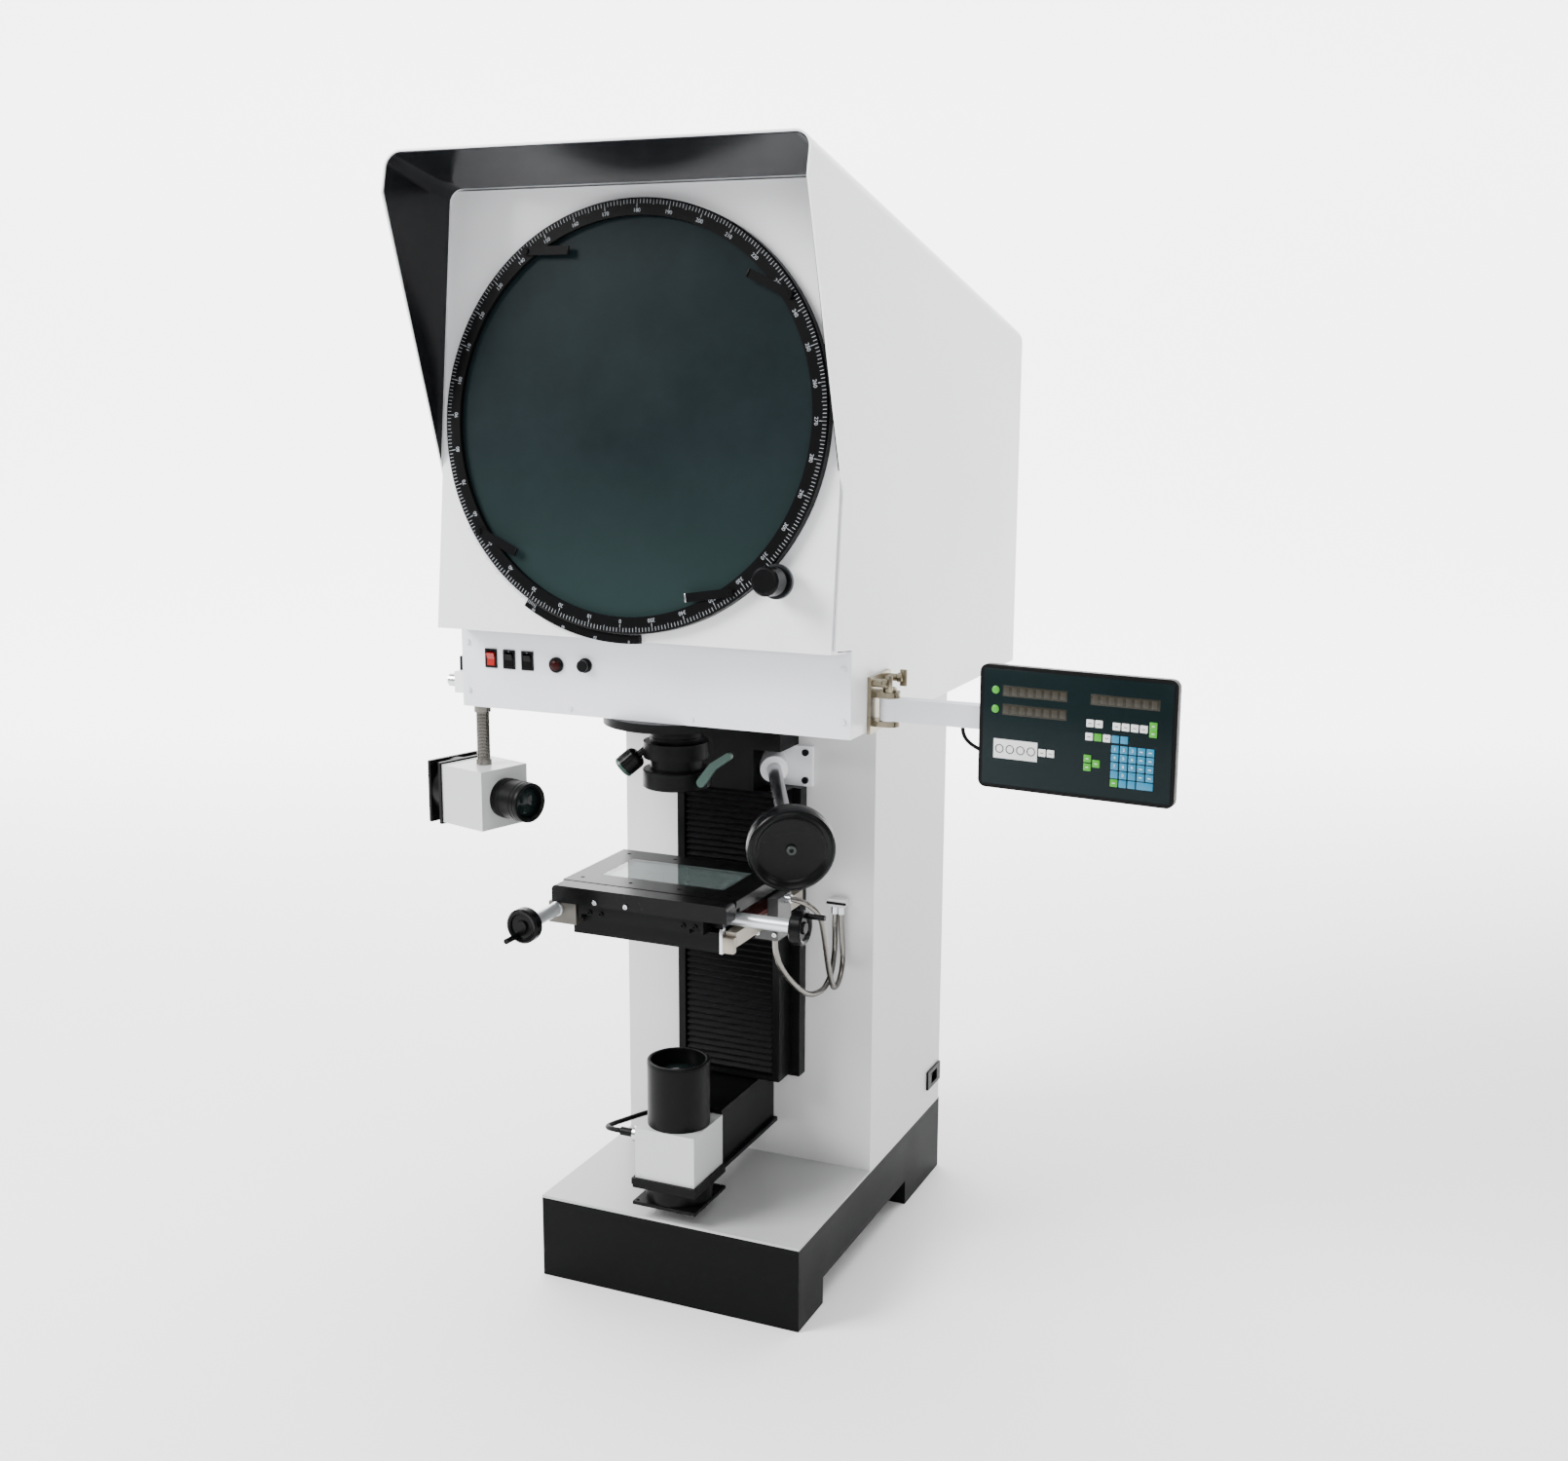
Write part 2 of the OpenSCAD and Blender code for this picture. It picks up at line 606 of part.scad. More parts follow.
// Slideway on the column's front, with the carriage, the bellows and the lead screw
guide_low = lamp_low + 69;
guide_high = head_floor - 115;
rear_plate_t = 18;
rear_plate_y = column_y - rear_plate_t;
rear_plate_half = guide_half + 11;
cheek_t = 9;
rail_x = guide_half - 21;
rail_w = 12;
rail_t = 12;
module slideway() color([0.06, 0.06, 0.065]) difference() {
    union() {
        wide(2 * rear_plate_half, rear_plate_y, column_y, guide_low - 4, guide_high);
        both_sides() block(guide_half - cheek_t, guide_half, guide_front, rear_plate_y, guide_low, guide_high);
        wide(2 * guide_half, guide_front, rear_plate_y, guide_low, guide_low + 6);
        wide(2 * guide_half, guide_front, column_y, guide_high, head_floor);
        both_sides() block(rail_x - rail_w / 2, rail_x + rail_w / 2, rear_plate_y - rail_t, rear_plate_y,
                           guide_low + 9, guide_high - 5);
    }
    nut_slot();
    block(boss_at.x - boss_r - 2, guide_half + 1, guide_front - 1, column_y + 1,
          guide_high, boss_at.z + boss_r + 9);
    along_shaft() translate([0, 0, -shaft_run]) cylinder(r = boss_r + slide_fit, h = shaft_run + 1);
}
carriage_low = stage_top - 105;
carriage_high = stage_top - 35;
carriage_half = guide_half - cheek_t - 1;
bellows_half = carriage_half - 0.5;
pleat_deep = 5;
// Pleated cover between two heights, folded like an accordion
module bellows(z0, z1, pleats) color([0.05, 0.05, 0.055]) {
    step = (z1 - z0) / pleats;
    outer = guide_front + 1;
    back = guide_front + 12;
    side_extrude(2 * bellows_half) polygon(concat(
        [[back, z0]],
        [for (k = [0 : pleats - 1], half = [0, 1])
            [outer + (1 - half) * pleat_deep, z0 + (k + half / 2) * step]],
        [[outer + pleat_deep, z1], [back, z1]]
    ));
}
module bellows_upper() bellows(carriage_high + slide_fit, guide_high - slide_fit, 14);
module bellows_lower() bellows(guide_low + 6 + slide_fit, carriage_low - slide_fit, 22);
bevel_angle = 38;
bevel_near = 6;
bevel_far = 14;
module bevel() {
    spread = tan(bevel_angle);
    rotate_extrude() polygon([
        [0, bevel_near], [bevel_near * spread, bevel_near], [bevel_far * spread, bevel_far], [0, bevel_far]
    ]);
}
bearing_low = guide_low + 81;
bearing_floor = 4;
bearing_high = guide_high;
bearing_block_h = 14;
module lead_screw() color([0.7, 0.71, 0.73]) translate([screw_x, screw_y, 0]) {
    translate([0, 0, bearing_low + bearing_floor + slide_fit])
        cylinder(r = screw_r, h = screw_top - bevel_far - bearing_low - bearing_floor - slide_fit);
    translate([0, 0, screw_top]) mirror([0, 0, 1]) bevel();
}
boss_plate_edge = 36;
boss_plate_t = 6;
module handwheel_boss() color([0.88, 0.89, 0.89]) {
    difference() {
        union() {
            intersection() {
                along_shaft() translate([0, 0, -shaft_run]) cylinder(r = boss_r, h = shaft_run);
                wide(head_w, 0, column_y, 0, head_floor);
            }
            block(boss_at.x - boss_r, boss_at.x + boss_plate_edge, column_y - boss_plate_t, column_y,
                  guide_high + slide_fit, boss_at.z + boss_r + 8);
        }
        along_shaft() translate([0, 0, -shaft_run]) cylinder(r = shaft_r + run_fit, h = shaft_run + 1);
    }
    for (z = [guide_high + 8, boss_at.z + boss_r + 1])
        rod_y([boss_at.x + boss_plate_edge - 8, column_y - boss_plate_t - 3, z], 4, 3);
}
z_wheel_t = 24;
web_set = 9;
rim_w = 11;
module z_shaft() color([0.7, 0.71, 0.73]) along_shaft() {
    translate([0, 0, bevel_far - shaft_run])
        cylinder(r = shaft_r, h = shaft_run - bevel_far + shaft_l - z_wheel_t / 2);
    translate([0, 0, -shaft_run]) bevel();
}
module z_handwheel() color([0.05, 0.05, 0.055]) along_shaft() {
    translate([0, 0, shaft_l - z_wheel_t / 2]) rotate_extrude($fn = 96) polygon([
        [0, 0], [14, 0], [14, 6], [z_wheel_r - rim_w, 8], [z_wheel_r - rim_w, 4],
        [z_wheel_r - 5, 0], [z_wheel_r - 1, 3],
        [z_wheel_r, z_wheel_t / 2], [z_wheel_r - 1, z_wheel_t - 3], [z_wheel_r - 5, z_wheel_t],
        [z_wheel_r - rim_w, z_wheel_t - 4], [z_wheel_r - rim_w, z_wheel_t - web_set], [0, z_wheel_t - web_set]
    ]);
    translate([0, 0, shaft_l + z_wheel_t / 2 - web_set]) cylinder(r = 5.5, h = 4);
}

// Stage: saddle on the carriage's knee, cross slide on the saddle, table on the cross slide
table_t = 14;
table_low = stage_top - table_t;
groove_w = 3;
bar_d = 22;
bar_h = 19;
table_half = table_d / 2;
bar_front = table_half + groove_w + bar_d;
slide_high = table_low - 1;
slide_low = stage_top - 35;
saddle_high = slide_low - 2;
saddle_low = saddle_high - 22;
saddle_half = 92;
saddle_front = table_half + 2;
saddle_back = guide_front - 21;
knee_front = guide_front - 33;
module carriage() color([0.07, 0.07, 0.075]) difference() {
    union() {
        wide(2 * carriage_half, guide_front + 4, rear_plate_y - slide_fit, carriage_low, carriage_high);
        side_extrude(2 * carriage_half - 8) polygon([
            [knee_front, saddle_low], [knee_front, saddle_low - 16],
            [guide_front + 5, carriage_low], [guide_front + 5, saddle_low]
        ]);
        block(screw_x - slot_half + 2, screw_x + slot_half - 2, rear_plate_y - slide_fit,
              column_y + column_wall + 3, nut_z - nut_half, nut_z + nut_half);
        block(screw_x - 13, screw_x + 13, column_y + column_wall + 3, screw_y + 13,
              nut_z - nut_half, nut_z + nut_half);
    }
    both_sides() block(rail_x - rail_w / 2 - slide_fit, rail_x + rail_w / 2 + slide_fit,
                       rear_plate_y - rail_t - slide_fit, rear_plate_y + 1,
                       carriage_low - 1, carriage_high + 1);
    translate([screw_x, screw_y, 0]) cylinder(r = screw_r + slide_fit, h = head_floor);
}
beam_r = 27;
y_travel = 25;
x_travel = 50;
y_rail_x = 66;
y_rail_w = 12;
x_rail_t = 6;
slide_half = 76;
y_screw = [-slide_half - 28, 0, stage_top - 29];
y_block_d = 16;
y_tube_l = 60;
y_tube_end = saddle_front + y_block_d + y_tube_l;
screw_small_r = 4;
module saddle() color([0.07, 0.07, 0.075]) {
    difference() {
        union() {
            wide(2 * saddle_half, -saddle_front, saddle_back, saddle_low, saddle_high);
            wide(2 * carriage_half, saddle_back - 1, guide_front + 4, saddle_low, saddle_high);
        }
        translate([0, 0, saddle_low - 1]) cylinder(r = beam_r + 22, h = 40);
    }
    both_sides() block(y_rail_x - y_rail_w / 2, y_rail_x + y_rail_w / 2, 8 - saddle_front, knee_front,
                       saddle_high, saddle_high + x_rail_t);
    difference() {
        union() {
            block(y_screw.x - 10, -slide_half - 4, -saddle_front - y_block_d, -saddle_front,
                  saddle_low + 14, y_screw.z + 8);
            rod_y([y_screw.x, -y_tube_end, y_screw.z], drive_tube_r, y_tube_l + 2);
        }
        rod_y([y_screw.x, -y_tube_end - 4, y_screw.z], screw_small_r + run_fit, y_tube_l + y_block_d + 14);
    }
}
// Reading head of the Y scale, reaching round the scale bar
module reading_head() color([0.62, 0.6, 0.55]) {
    block(saddle_half, scale_x + scale_w + 2, 8, 44, saddle_low - 6, scale_low - slide_fit);
    block(scale_x + scale_w + slide_fit, conduit_x, 8, 44, saddle_low - 6, slide_high - 2);
}
window_half = 45;
window_front = table_half - 22;
window_back = table_half - 18;
x_rail_front = 4 - table_half;
x_rail_back = table_half - 8;
x_rail_w = 8;
x_screw = [slide_half, 14.5 - table_half, stage_top - 24];
nut_w = 10;
x_block_w = 12;
x_tube_l = 78;
tube_end = slide_half + x_block_w + x_tube_l;
module cross_slide() color([0.07, 0.07, 0.075]) {
    difference() {
        union() {
            wide(2 * slide_half, -table_half, table_half, slide_low, slide_high);
            wide(2 * slide_half, 6 - bar_front, -table_half, slide_low - 1,
                 stage_top - bar_h - slide_fit - 0.5);
        }
        both_sides() block(y_rail_x - y_rail_w / 2 - slide_fit, y_rail_x + y_rail_w / 2 + slide_fit, -far, far,
                           slide_low - 2, saddle_high + x_rail_t + slide_fit);
        wide(2 * window_half, -window_front, window_back, slide_low - 1, slide_high + 1);
        wide(2 * (x_travel + 15), x_screw.y - nut_w / 2 - 0.5, x_screw.y + nut_w / 2 + 0.5,
             slide_low + 3, slide_high + 1);
        rod_x([-slide_half - 1, x_screw.y, x_screw.z], screw_small_r + run_fit, 2 * slide_half + 2);
    }
    for (y = [x_rail_front, x_rail_back])
        wide(2 * slide_half, y - x_rail_w / 2, y + x_rail_w / 2, slide_high, slide_high + x_rail_t);
    difference() {
        union() {
            block(slide_half, slide_half + x_block_w, x_screw.y - 10, x_screw.y + 10,
                  slide_low + 1, slide_high);
            rod_x([slide_half + x_block_w, x_screw.y, x_screw.z], drive_tube_r, x_tube_l);
        }
        rod_x([slide_half - 1, x_screw.y, x_screw.z], screw_small_r + run_fit, tube_end);
    }
    difference() {
        block(y_screw.x - 9, -slide_half, -10, 14, y_screw.z - 8, slide_high - 1);
        rod_y([y_screw.x, -11, y_screw.z], screw_small_r + slide_fit, 26);
    }
}
crank_r = 3;
crank_out = 13;
wheel_t = 14;
// Handwheel of the stage, made along +Z from its rear face, with a crank pin near the rim
module small_wheel() {
    rotate_extrude() polygon([
        [0, 0], [small_wheel_r - 2, 0], [small_wheel_r, 2], [small_wheel_r, wheel_t - 2],
        [small_wheel_r - 2, wheel_t], [small_wheel_r - 5, wheel_t - 1],
        [small_wheel_r - 6, wheel_t - 3], [7, wheel_t - 3], [6, wheel_t], [0, wheel_t]
    ]);
    translate([crank_out, 0, wheel_t - 4]) cylinder(r = crank_r, h = 24);
}
crank_turn = 160;
module x_handwheel() color([0.05, 0.05, 0.055]) {
    rod_x([-slide_half, x_screw.y, x_screw.z], screw_small_r, tube_end + slide_half + 4);
    translate([tube_end + slide_fit, x_screw.y, x_screw.z]) rotate([0, 90, 0]) rotate([0, 0, crank_turn])
        small_wheel();
}
module y_handwheel() color([0.05, 0.05, 0.055]) {
    rod_y([y_screw.x, -y_tube_end - 4, y_screw.z], screw_small_r, y_tube_end + y_travel + 24);
    translate([y_screw.x, -y_tube_end - slide_fit, y_screw.z]) rotate([90, 0, 0]) rotate([0, 0, -120])
        small_wheel();
}
corner_r = 5;
glass_ledge = 6;
stage_glass_t = 6;
module stage_table() color([0.1, 0.1, 0.105]) difference() {
    union() {
        wide(table_w, -table_half, table_half, table_low, stage_top);
        wide(table_w, -table_half - groove_w, -table_half, table_low, stage_top - 6);
        difference() {
            wide(table_w, -bar_front, -table_half - groove_w, stage_top - bar_h, stage_top);
            both_sides() translate([table_w / 2 - corner_r, 0, stage_top - corner_r]) difference() {
                block(0, corner_r + 1, -bar_front - 1, -table_half, 0, corner_r + 1);
                rod_y([0, -bar_front - 2, 0], corner_r, bar_d + 4);
            }
        }
        block(-nut_w, nut_w, x_screw.y - nut_w / 2, x_screw.y + nut_w / 2, x_screw.z - 7 + slide_fit,
              table_low);
    }
    for (y = [x_rail_front, x_rail_back])
        wide(table_w + 2, y - x_rail_w / 2 - slide_fit, y + x_rail_w / 2 + slide_fit,
             table_low - 2, slide_high + x_rail_t + slide_fit);
    wide(stage_glass_w + 2 * slide_fit, -stage_glass_d / 2 - slide_fit, stage_glass_d / 2 + slide_fit,
         stage_top - stage_glass_t, stage_top + 1);
    wide(stage_glass_w - 2 * glass_ledge, glass_ledge - stage_glass_d / 2, stage_glass_d / 2 - glass_ledge,
         table_low - 1, stage_top);
    for (x = [16 - table_w / 2, -30, 30, table_w / 2 - 16], y = [16 - table_half, table_half - 16])
        translate([x, y, table_low + 6]) cylinder(r = 2.5, h = table_t);
    rod_x([-far, x_screw.y, x_screw.z], screw_small_r + slide_fit, 2 * far);
}
module stage_glass() color([0.55, 0.7, 0.68, 0.5])
    wide(stage_glass_w, -stage_glass_d / 2, stage_glass_d / 2, stage_top - stage_glass_t, stage_top);
scale_x = saddle_half + 2;
scale_w = 13;
scale_low = stage_top - 50;
scale_h = 16;
scale_front = 72;
scale_back = 108;
strip_half = 40;
strip_t = 5;
module scale_bar() color([0.62, 0.55, 0.46]) {
    block(scale_x, scale_x + scale_w, -scale_front, scale_back, scale_low, scale_low + scale_h);
    block(slide_half, scale_x + scale_w, -strip_half, strip_half,
          scale_low + scale_h, scale_low + scale_h + strip_t);
}

// Cords: routes by hand, swept as plain tubes
conduit_x = scale_x + 26;
conduit_r = 3.4;
clamp_low = stage_top - 71;
clamp_back = column_y - 7;
// Heights of the two routes are below the stage's top
route_a = [for (p = [
    [120.3, 28, 21], [127.3, 28, 21], [137, 29, 22.5], [146, 31.5, 26.5], [152.5, 36, 33], [156, 41, 41],
    [156, 48, 51.5], [153.5, 60.5, 69.5], [150, 74.5, 88.5], [146, 89.5, 107.5], [142, 105.5, 127.5],
    [138, 125.5, 149.5], [135, 140, 158], [133, 156, 158], [131, 170.5, 149.5], [129.5, 179, 135.5],
    [128.5, clamp_back, 119], [127.2, clamp_back, 101], [126.5, clamp_back, 85], [126.5, clamp_back, 71.5]
]) [p.x, p.y, stage_top - p.z]];
route_b = [for (p = [
    [114, 14, 65.3], [114, 15, 77], [114.5, 18.5, 86.5], [115, 24, 97], [116, 32.5, 107.5], [117, 44, 119],
    [118.5, 58.5, 131.5], [120, 74, 143], [121, 89, 151.5], [122, 104, 157], [123, 119.5, 159.5],
    [124, 134, 159], [124.3, 147, 153.5], [124, 158, 145], [122.7, 167, 132.5], [121, 174, 119],
    [118.5, clamp_back, 93], [118.5, clamp_back, 71.5]
]) [p.x, p.y, stage_top - p.z]];
function unit(v) = v / norm(v);
function heading(p, i) = unit(p[min(i + 1, len(p) - 1)] - p[max(i - 1, 0)]);
function across(t) = unit(cross(t, [0.5, -0.6, 0.62]));
function ring_points(c, t, r, sides) = let (a = across(t), b = cross(t, a))
    [for (k = [0 : sides - 1]) c + r * cos(360 * k / sides) * a + r * sin(360 * k / sides) * b];
module cord(p, r, sides) {
    n = len(p);
    rings = [for (i = [0 : n - 1]) each ring_points(p[i], heading(p, i), r, sides)];
    polyhedron(rings, concat(
        [[for (k = [0 : sides - 1]) sides - 1 - k]],
        [for (i = [0 : n - 2], k = [0 : sides - 1])
            [i * sides + k, i * sides + (k + 1) % sides,
             (i + 1) * sides + (k + 1) % sides, (i + 1) * sides + k]],
        [[for (k = [0 : sides - 1]) (n - 1) * sides + k]]
    ));
}
module conduit_a() color([0.65, 0.65, 0.66]) cord(route_a, conduit_r, 8);
module conduit_b() color([0.65, 0.65, 0.66]) cord(route_b, conduit_r, 8);
plug_z = lamp_low + 35;
plug_r = 9.5;
plug_l = 20;
relief_l = 18;
gland_z = head_floor + 25;
// Fittings where leads enter: mains inlet, conduit clamp, lamp plug and the block on the head's left side
module cable_fittings() color([0.5, 0.5, 0.52]) {
    power_inlet();
    block(112, 133, column_y - 13, column_y, clamp_low, clamp_low + 9);
    rod_x([-lamp_w / 2 - plug_l, 0, plug_z], plug_r, plug_l);
    rod_x([-lamp_w / 2 - plug_l - relief_l, 0, plug_z], 5, relief_l);
    block(-head_w / 2 - 14, -head_w / 2, -62, -40, gland_z - 12, gland_z + 12);
    block(-head_w / 2 - 9, -head_w / 2, -58, -44, gland_z + 12, gland_z + 29);
    rod_x([-head_w / 2 - 26, -51, gland_z], 7.3, 12);
}

// Lower lamp on its arm
plate_under = 7.5;
fan_low = lamp_low - plate_under - fan_t;
lamp_wall = 3;
arm_high = guide_low - 4;
hub_r = 15;
module fan_frame(w, t) {
    tab = 4;
    difference() {
        union() {
            for (z = [0, t - tab]) translate([-w / 2, -w / 2, z]) cube([w, w, tab]);
            cylinder(r = w / 2 - 1, h = t);
        }
        translate([0, 0, 3]) cylinder(r = w / 2 - 3, h = t);
        difference() {
            translate([0, 0, -1]) cylinder(r = w / 2 - 3, h = t);
            translate([0, 0, -2]) cylinder(r = hub_r, h = t);
            for (turn = [0, 90]) rotate([0, 0, turn]) translate([-w / 2, -2, -2]) cube([w, 4, t]);
        }
        for (x = [-1, 1], y = [-1, 1]) translate([x * (w / 2 - 4.5), y * (w / 2 - 4.5), -1])
            cylinder(r = 2.1, h = t + 2);
    }
    translate([0, 0, 3]) cylinder(r = 3, h = 6);
}
module fan_rotor(w, t) {
    difference() {
        union() {
            translate([0, 0, 4]) cylinder(r = hub_r, h = t - 6);
            for (k = [0 : 6]) rotate([0, 0, k * 360 / 7]) translate([hub_r - 2, 0, t / 2 + 1])
                rotate([0, 90, 0]) rotate([0, 0, 40]) translate([-8, -0.8, 0])
                cube([16, 1.6, w / 2 - 5 - hub_r]);
        }
        translate([0, 0, 2]) cylinder(r = 3 + run_fit, h = 8);
    }
}
module lamp_arm() color([0.07, 0.07, 0.075]) {
    wide(lamp_w - 2, lamp_w / 2, column_y, lamp_low, arm_high);
    wide(lamp_w + 8, lamp_w / 2, column_y, lamp_low - 5, lamp_low);
    difference() {
        wide(fan_w + 2, -fan_w / 2 - 1, lamp_w / 2, lamp_low - plate_under, lamp_low);
        translate([0, 0, fan_low]) cylinder(r = fan_w / 2 - 10, h = fan_w);
    }
    translate([0, 0, fan_low]) fan_frame(fan_w, fan_t);
}
module lamp_house() color([0.85, 0.86, 0.86]) difference() {
    wide(lamp_w, -lamp_w / 2, lamp_w / 2, lamp_low, lamp_low + lamp_h);
    wide(lamp_w - 2 * lamp_wall, lamp_wall - lamp_w / 2, lamp_w / 2 - lamp_wall,
         lamp_low - 1, lamp_low + lamp_h - lamp_wall);
    translate([0, 0, lamp_low]) cylinder(r = lamp_barrel_r - 8, h = lamp_h + 1);
}
module lamp_optics() color([0.07, 0.07, 0.075]) {
    translate([0, 0, lamp_low + lamp_h]) rotate_extrude() polygon([
        [lamp_barrel_r - 4, 0], [lamp_barrel_r, 0], [lamp_barrel_r, lamp_barrel_l - 1],
        [lamp_barrel_r - 1, lamp_barrel_l], [lamp_barrel_r - 4, lamp_barrel_l]
    ]);
    translate([0, 0, lamp_barrel_top - 22]) rotate_extrude() polygon([
        [0, 0], [lamp_barrel_r - 4 + 0.01, 0], [lamp_barrel_r - 4 + 0.01, 4], [20, 8], [10, 10.4], [0, 11]
    ]);
    rod_x([-lamp_w / 2 + lamp_wall, 0, plug_z], 6, 28);
    translate([0, 0, plug_z - 12]) cylinder(r = 7, h = 26);
}
module lamp_fan_rotor() color([0.06, 0.06, 0.065]) translate([0, 0, fan_low]) fan_rotor(fan_w, fan_t);
// The lead's places are counted from the end of the plug's relief
lead_start = lamp_w / 2 + plug_l + relief_l;
route_lead = [for (p = [
    [-0.2, 0, 0], [-6.4, 0.5, -0.4], [-12.5, 2, -1], [-18.4, 5.2, -2.3], [-23.5, 10, -4],
    [-27.1, 16.4, -5.9], [-29.5, 24, -8], [-30.5, 42, -12], [-27.5, 62, -15], [-21.5, 84, -17],
    [-13.5, 108, -19], [-5.5, 132, -20], [0.5, 156, -20], [3.5, 174, -20], [3.5, column_y - 0.3, -20]
]) [p.x - lead_start, p.y, p.z + plug_z]];
module lamp_lead() color([0.05, 0.05, 0.05]) cord(route_lead, 3, 8);

// Surface lamp on its gooseneck
neck_at = [16 - head_w / 2, -53];
neck_r = 7.5;
surface_turn = -16.4;
surface_high = head_floor - 68;
surface_low = surface_high - surface_w;
surface_fan_w = 71;
surface_fan_t = 22;
module neck_place() {
    translate([neck_at.x, neck_at.y, 0]) children();
}
neck_pin_r = 4;
module gooseneck() color([0.6, 0.6, 0.62]) neck_place() {
    ribs = 14;
    rib_low = surface_high + 6;
    rib_step = (head_floor - 8 - rib_low) / ribs;
    rotate_extrude() polygon(concat(
        [[0, surface_high - 14], [neck_pin_r, surface_high - 14], [neck_pin_r, surface_high + slide_fit]],
        [[neck_r + 1.2, surface_high + slide_fit], [neck_r + 1.2, rib_low]],
        [for (k = [0 : ribs - 1], half = [0, 1]) [neck_r - half * 0.8, rib_low + (k + half / 2) * rib_step]],
        [[neck_r, head_floor - 8], [neck_r + 2, head_floor - 8], [neck_r + 2, head_floor], [0, head_floor]]
    ));
}
module surface_place() {
    neck_place() rotate([0, 0, surface_turn]) children();
}
module surface_lamp() color([0.87, 0.88, 0.88]) surface_place() difference() {
    wide(surface_w, -surface_w / 2, surface_w / 2, surface_low, surface_high);
    translate([0, 0, surface_high - 15]) cylinder(r = neck_pin_r + run_fit, h = 20);
}
module surface_fan_place() {
    translate([-surface_w / 2 - surface_fan_t, 0, surface_low + surface_w / 2]) rotate([0, 90, 0]) children();
}
module surface_barrel() color([0.05, 0.05, 0.055]) surface_place() {
    translate([surface_w / 2, 0, surface_low + surface_w / 2]) rotate([0, 90, 0]) difference() {
        cylinder(r = surface_barrel_r, h = surface_barrel_l);
        translate([0, 0, surface_barrel_l - 8]) cylinder(r = surface_barrel_r - 3, h = 9);
    }
    surface_fan_place() fan_frame(surface_fan_w, surface_fan_t);
}
module surface_fan_rotor() color([0.06, 0.06, 0.065]) surface_place() surface_fan_place()
    fan_rotor(surface_fan_w, surface_fan_t);

// Readout on its arm
hinge_at = [head_w / 2 + 18, 0, 0];
ear_t = 6;
hinge_pin_r = 5;
swivel_x = hinge_at.x + arm_l;
swivel_pin_r = 4;
eye_r = 11;
module hinge_ears(r) {
    for (z = [arm_mid - arm_h / 2 - slide_fit - ear_t, arm_mid + arm_h / 2 + slide_fit])
        translate([0, 0, z]) cylinder(r = r, h = ear_t);
}
module readout_bracket() color([0.7, 0.6, 0.4]) {
    block(head_w / 2, head_w / 2 + 4, -20, 40, arm_mid - 25, arm_mid + 35);
    translate([hinge_at.x, 0, 0]) hinge_ears(eye_r);
    for (z = [arm_mid - arm_h / 2 - slide_fit - ear_t, arm_mid + arm_h / 2 + slide_fit])
        block(head_w / 2 + 4, hinge_at.x, -eye_r, eye_r, z, z + ear_t);
    translate([hinge_at.x, 0, arm_mid - arm_h / 2 - slide_fit - ear_t])
        cylinder(r = hinge_pin_r, h = arm_h + 2 * slide_fit + 2 * ear_t);
    for (y = [-12, 32]) rod_x([head_w / 2 + 4, y, arm_mid + 28], 4, 10);
}
module readout_arm() color([0.88, 0.89, 0.9]) difference() {
    union() {
        block(hinge_at.x, swivel_x, -arm_t / 2, arm_t / 2, arm_mid - arm_h / 2, arm_mid + arm_h / 2);
        for (x = [hinge_at.x, swivel_x]) translate([x, 0, arm_mid - arm_h / 2]) cylinder(r = eye_r, h = arm_h);
    }
    translate([hinge_at.x, 0, arm_mid - arm_h]) cylinder(r = hinge_pin_r + run_fit, h = 2 * arm_h);
    translate([swivel_x, 0, arm_mid - arm_h]) cylinder(r = swivel_pin_r + run_fit, h = 2 * arm_h);
}
readout_turn = -5.7;
readout_left = -20;
readout_back = -18;
readout_mid = arm_mid + 1;
readout_r = 8;
readout_rim = 8;
readout_inset = 10;
module readout_plate(inset, depth) hull()
    for (x = [readout_left + inset + readout_r, readout_left + readout_w - inset - readout_r],
         y = [inset + readout_r, readout_h - inset - readout_r])
        translate([x, y, 0]) cylinder(r = readout_r, h = depth, $fn = 32);
// The case has an upright rim round its face and tapers to the back
module readout() color([0.08, 0.09, 0.09]) translate([swivel_x, 0, 0]) rotate([0, 0, readout_turn]) {
    translate([0, readout_back, readout_mid - readout_h / 2]) rotate([90, 0, 0]) {
        translate([0, 0, readout_t - readout_rim]) readout_plate(0, readout_rim);
        hull() {
            readout_plate(readout_inset, 1);
            translate([0, 0, readout_t - readout_rim]) readout_plate(0, 1);
        }
    }
    hinge_ears(eye_r);
    for (z = [arm_mid - arm_h / 2 - slide_fit - ear_t, arm_mid + arm_h / 2 + slide_fit])
        block(-eye_r, eye_r, readout_back, 0, z, z + ear_t);
    translate([0, 0, arm_mid - arm_h / 2 - slide_fit - ear_t])
        cylinder(r = swivel_pin_r, h = arm_h + 2 * slide_fit + 2 * ear_t);
}

// The lead leaves the arm's underside and enters the case's back; its places are counted from the swivel pin
route_readout = [for (p = [
    [-58, 0, -12.8], [-57.8, 0.2, -17], [-57, 1, -21], [-55, 1.8, -25], [-51.2, 2.8, -29.2], [-46, 4, -33],
    [-39.6, 5.5, -36.2], [-33, 7, -38.8], [-26, 8, -41], [-19, 8.2, -42.6], [-12, 7.3, -44], [-6, 5, -45],
    [0.4, 0.4, -45.7], [5, -6, -46], [7.4, -12.3, -46], [8, -18.5, -46]
]) [p.x + swivel_x, p.y, p.z + arm_mid]];
module readout_lead() color([0.05, 0.05, 0.05]) cord(route_readout, 2, 8);

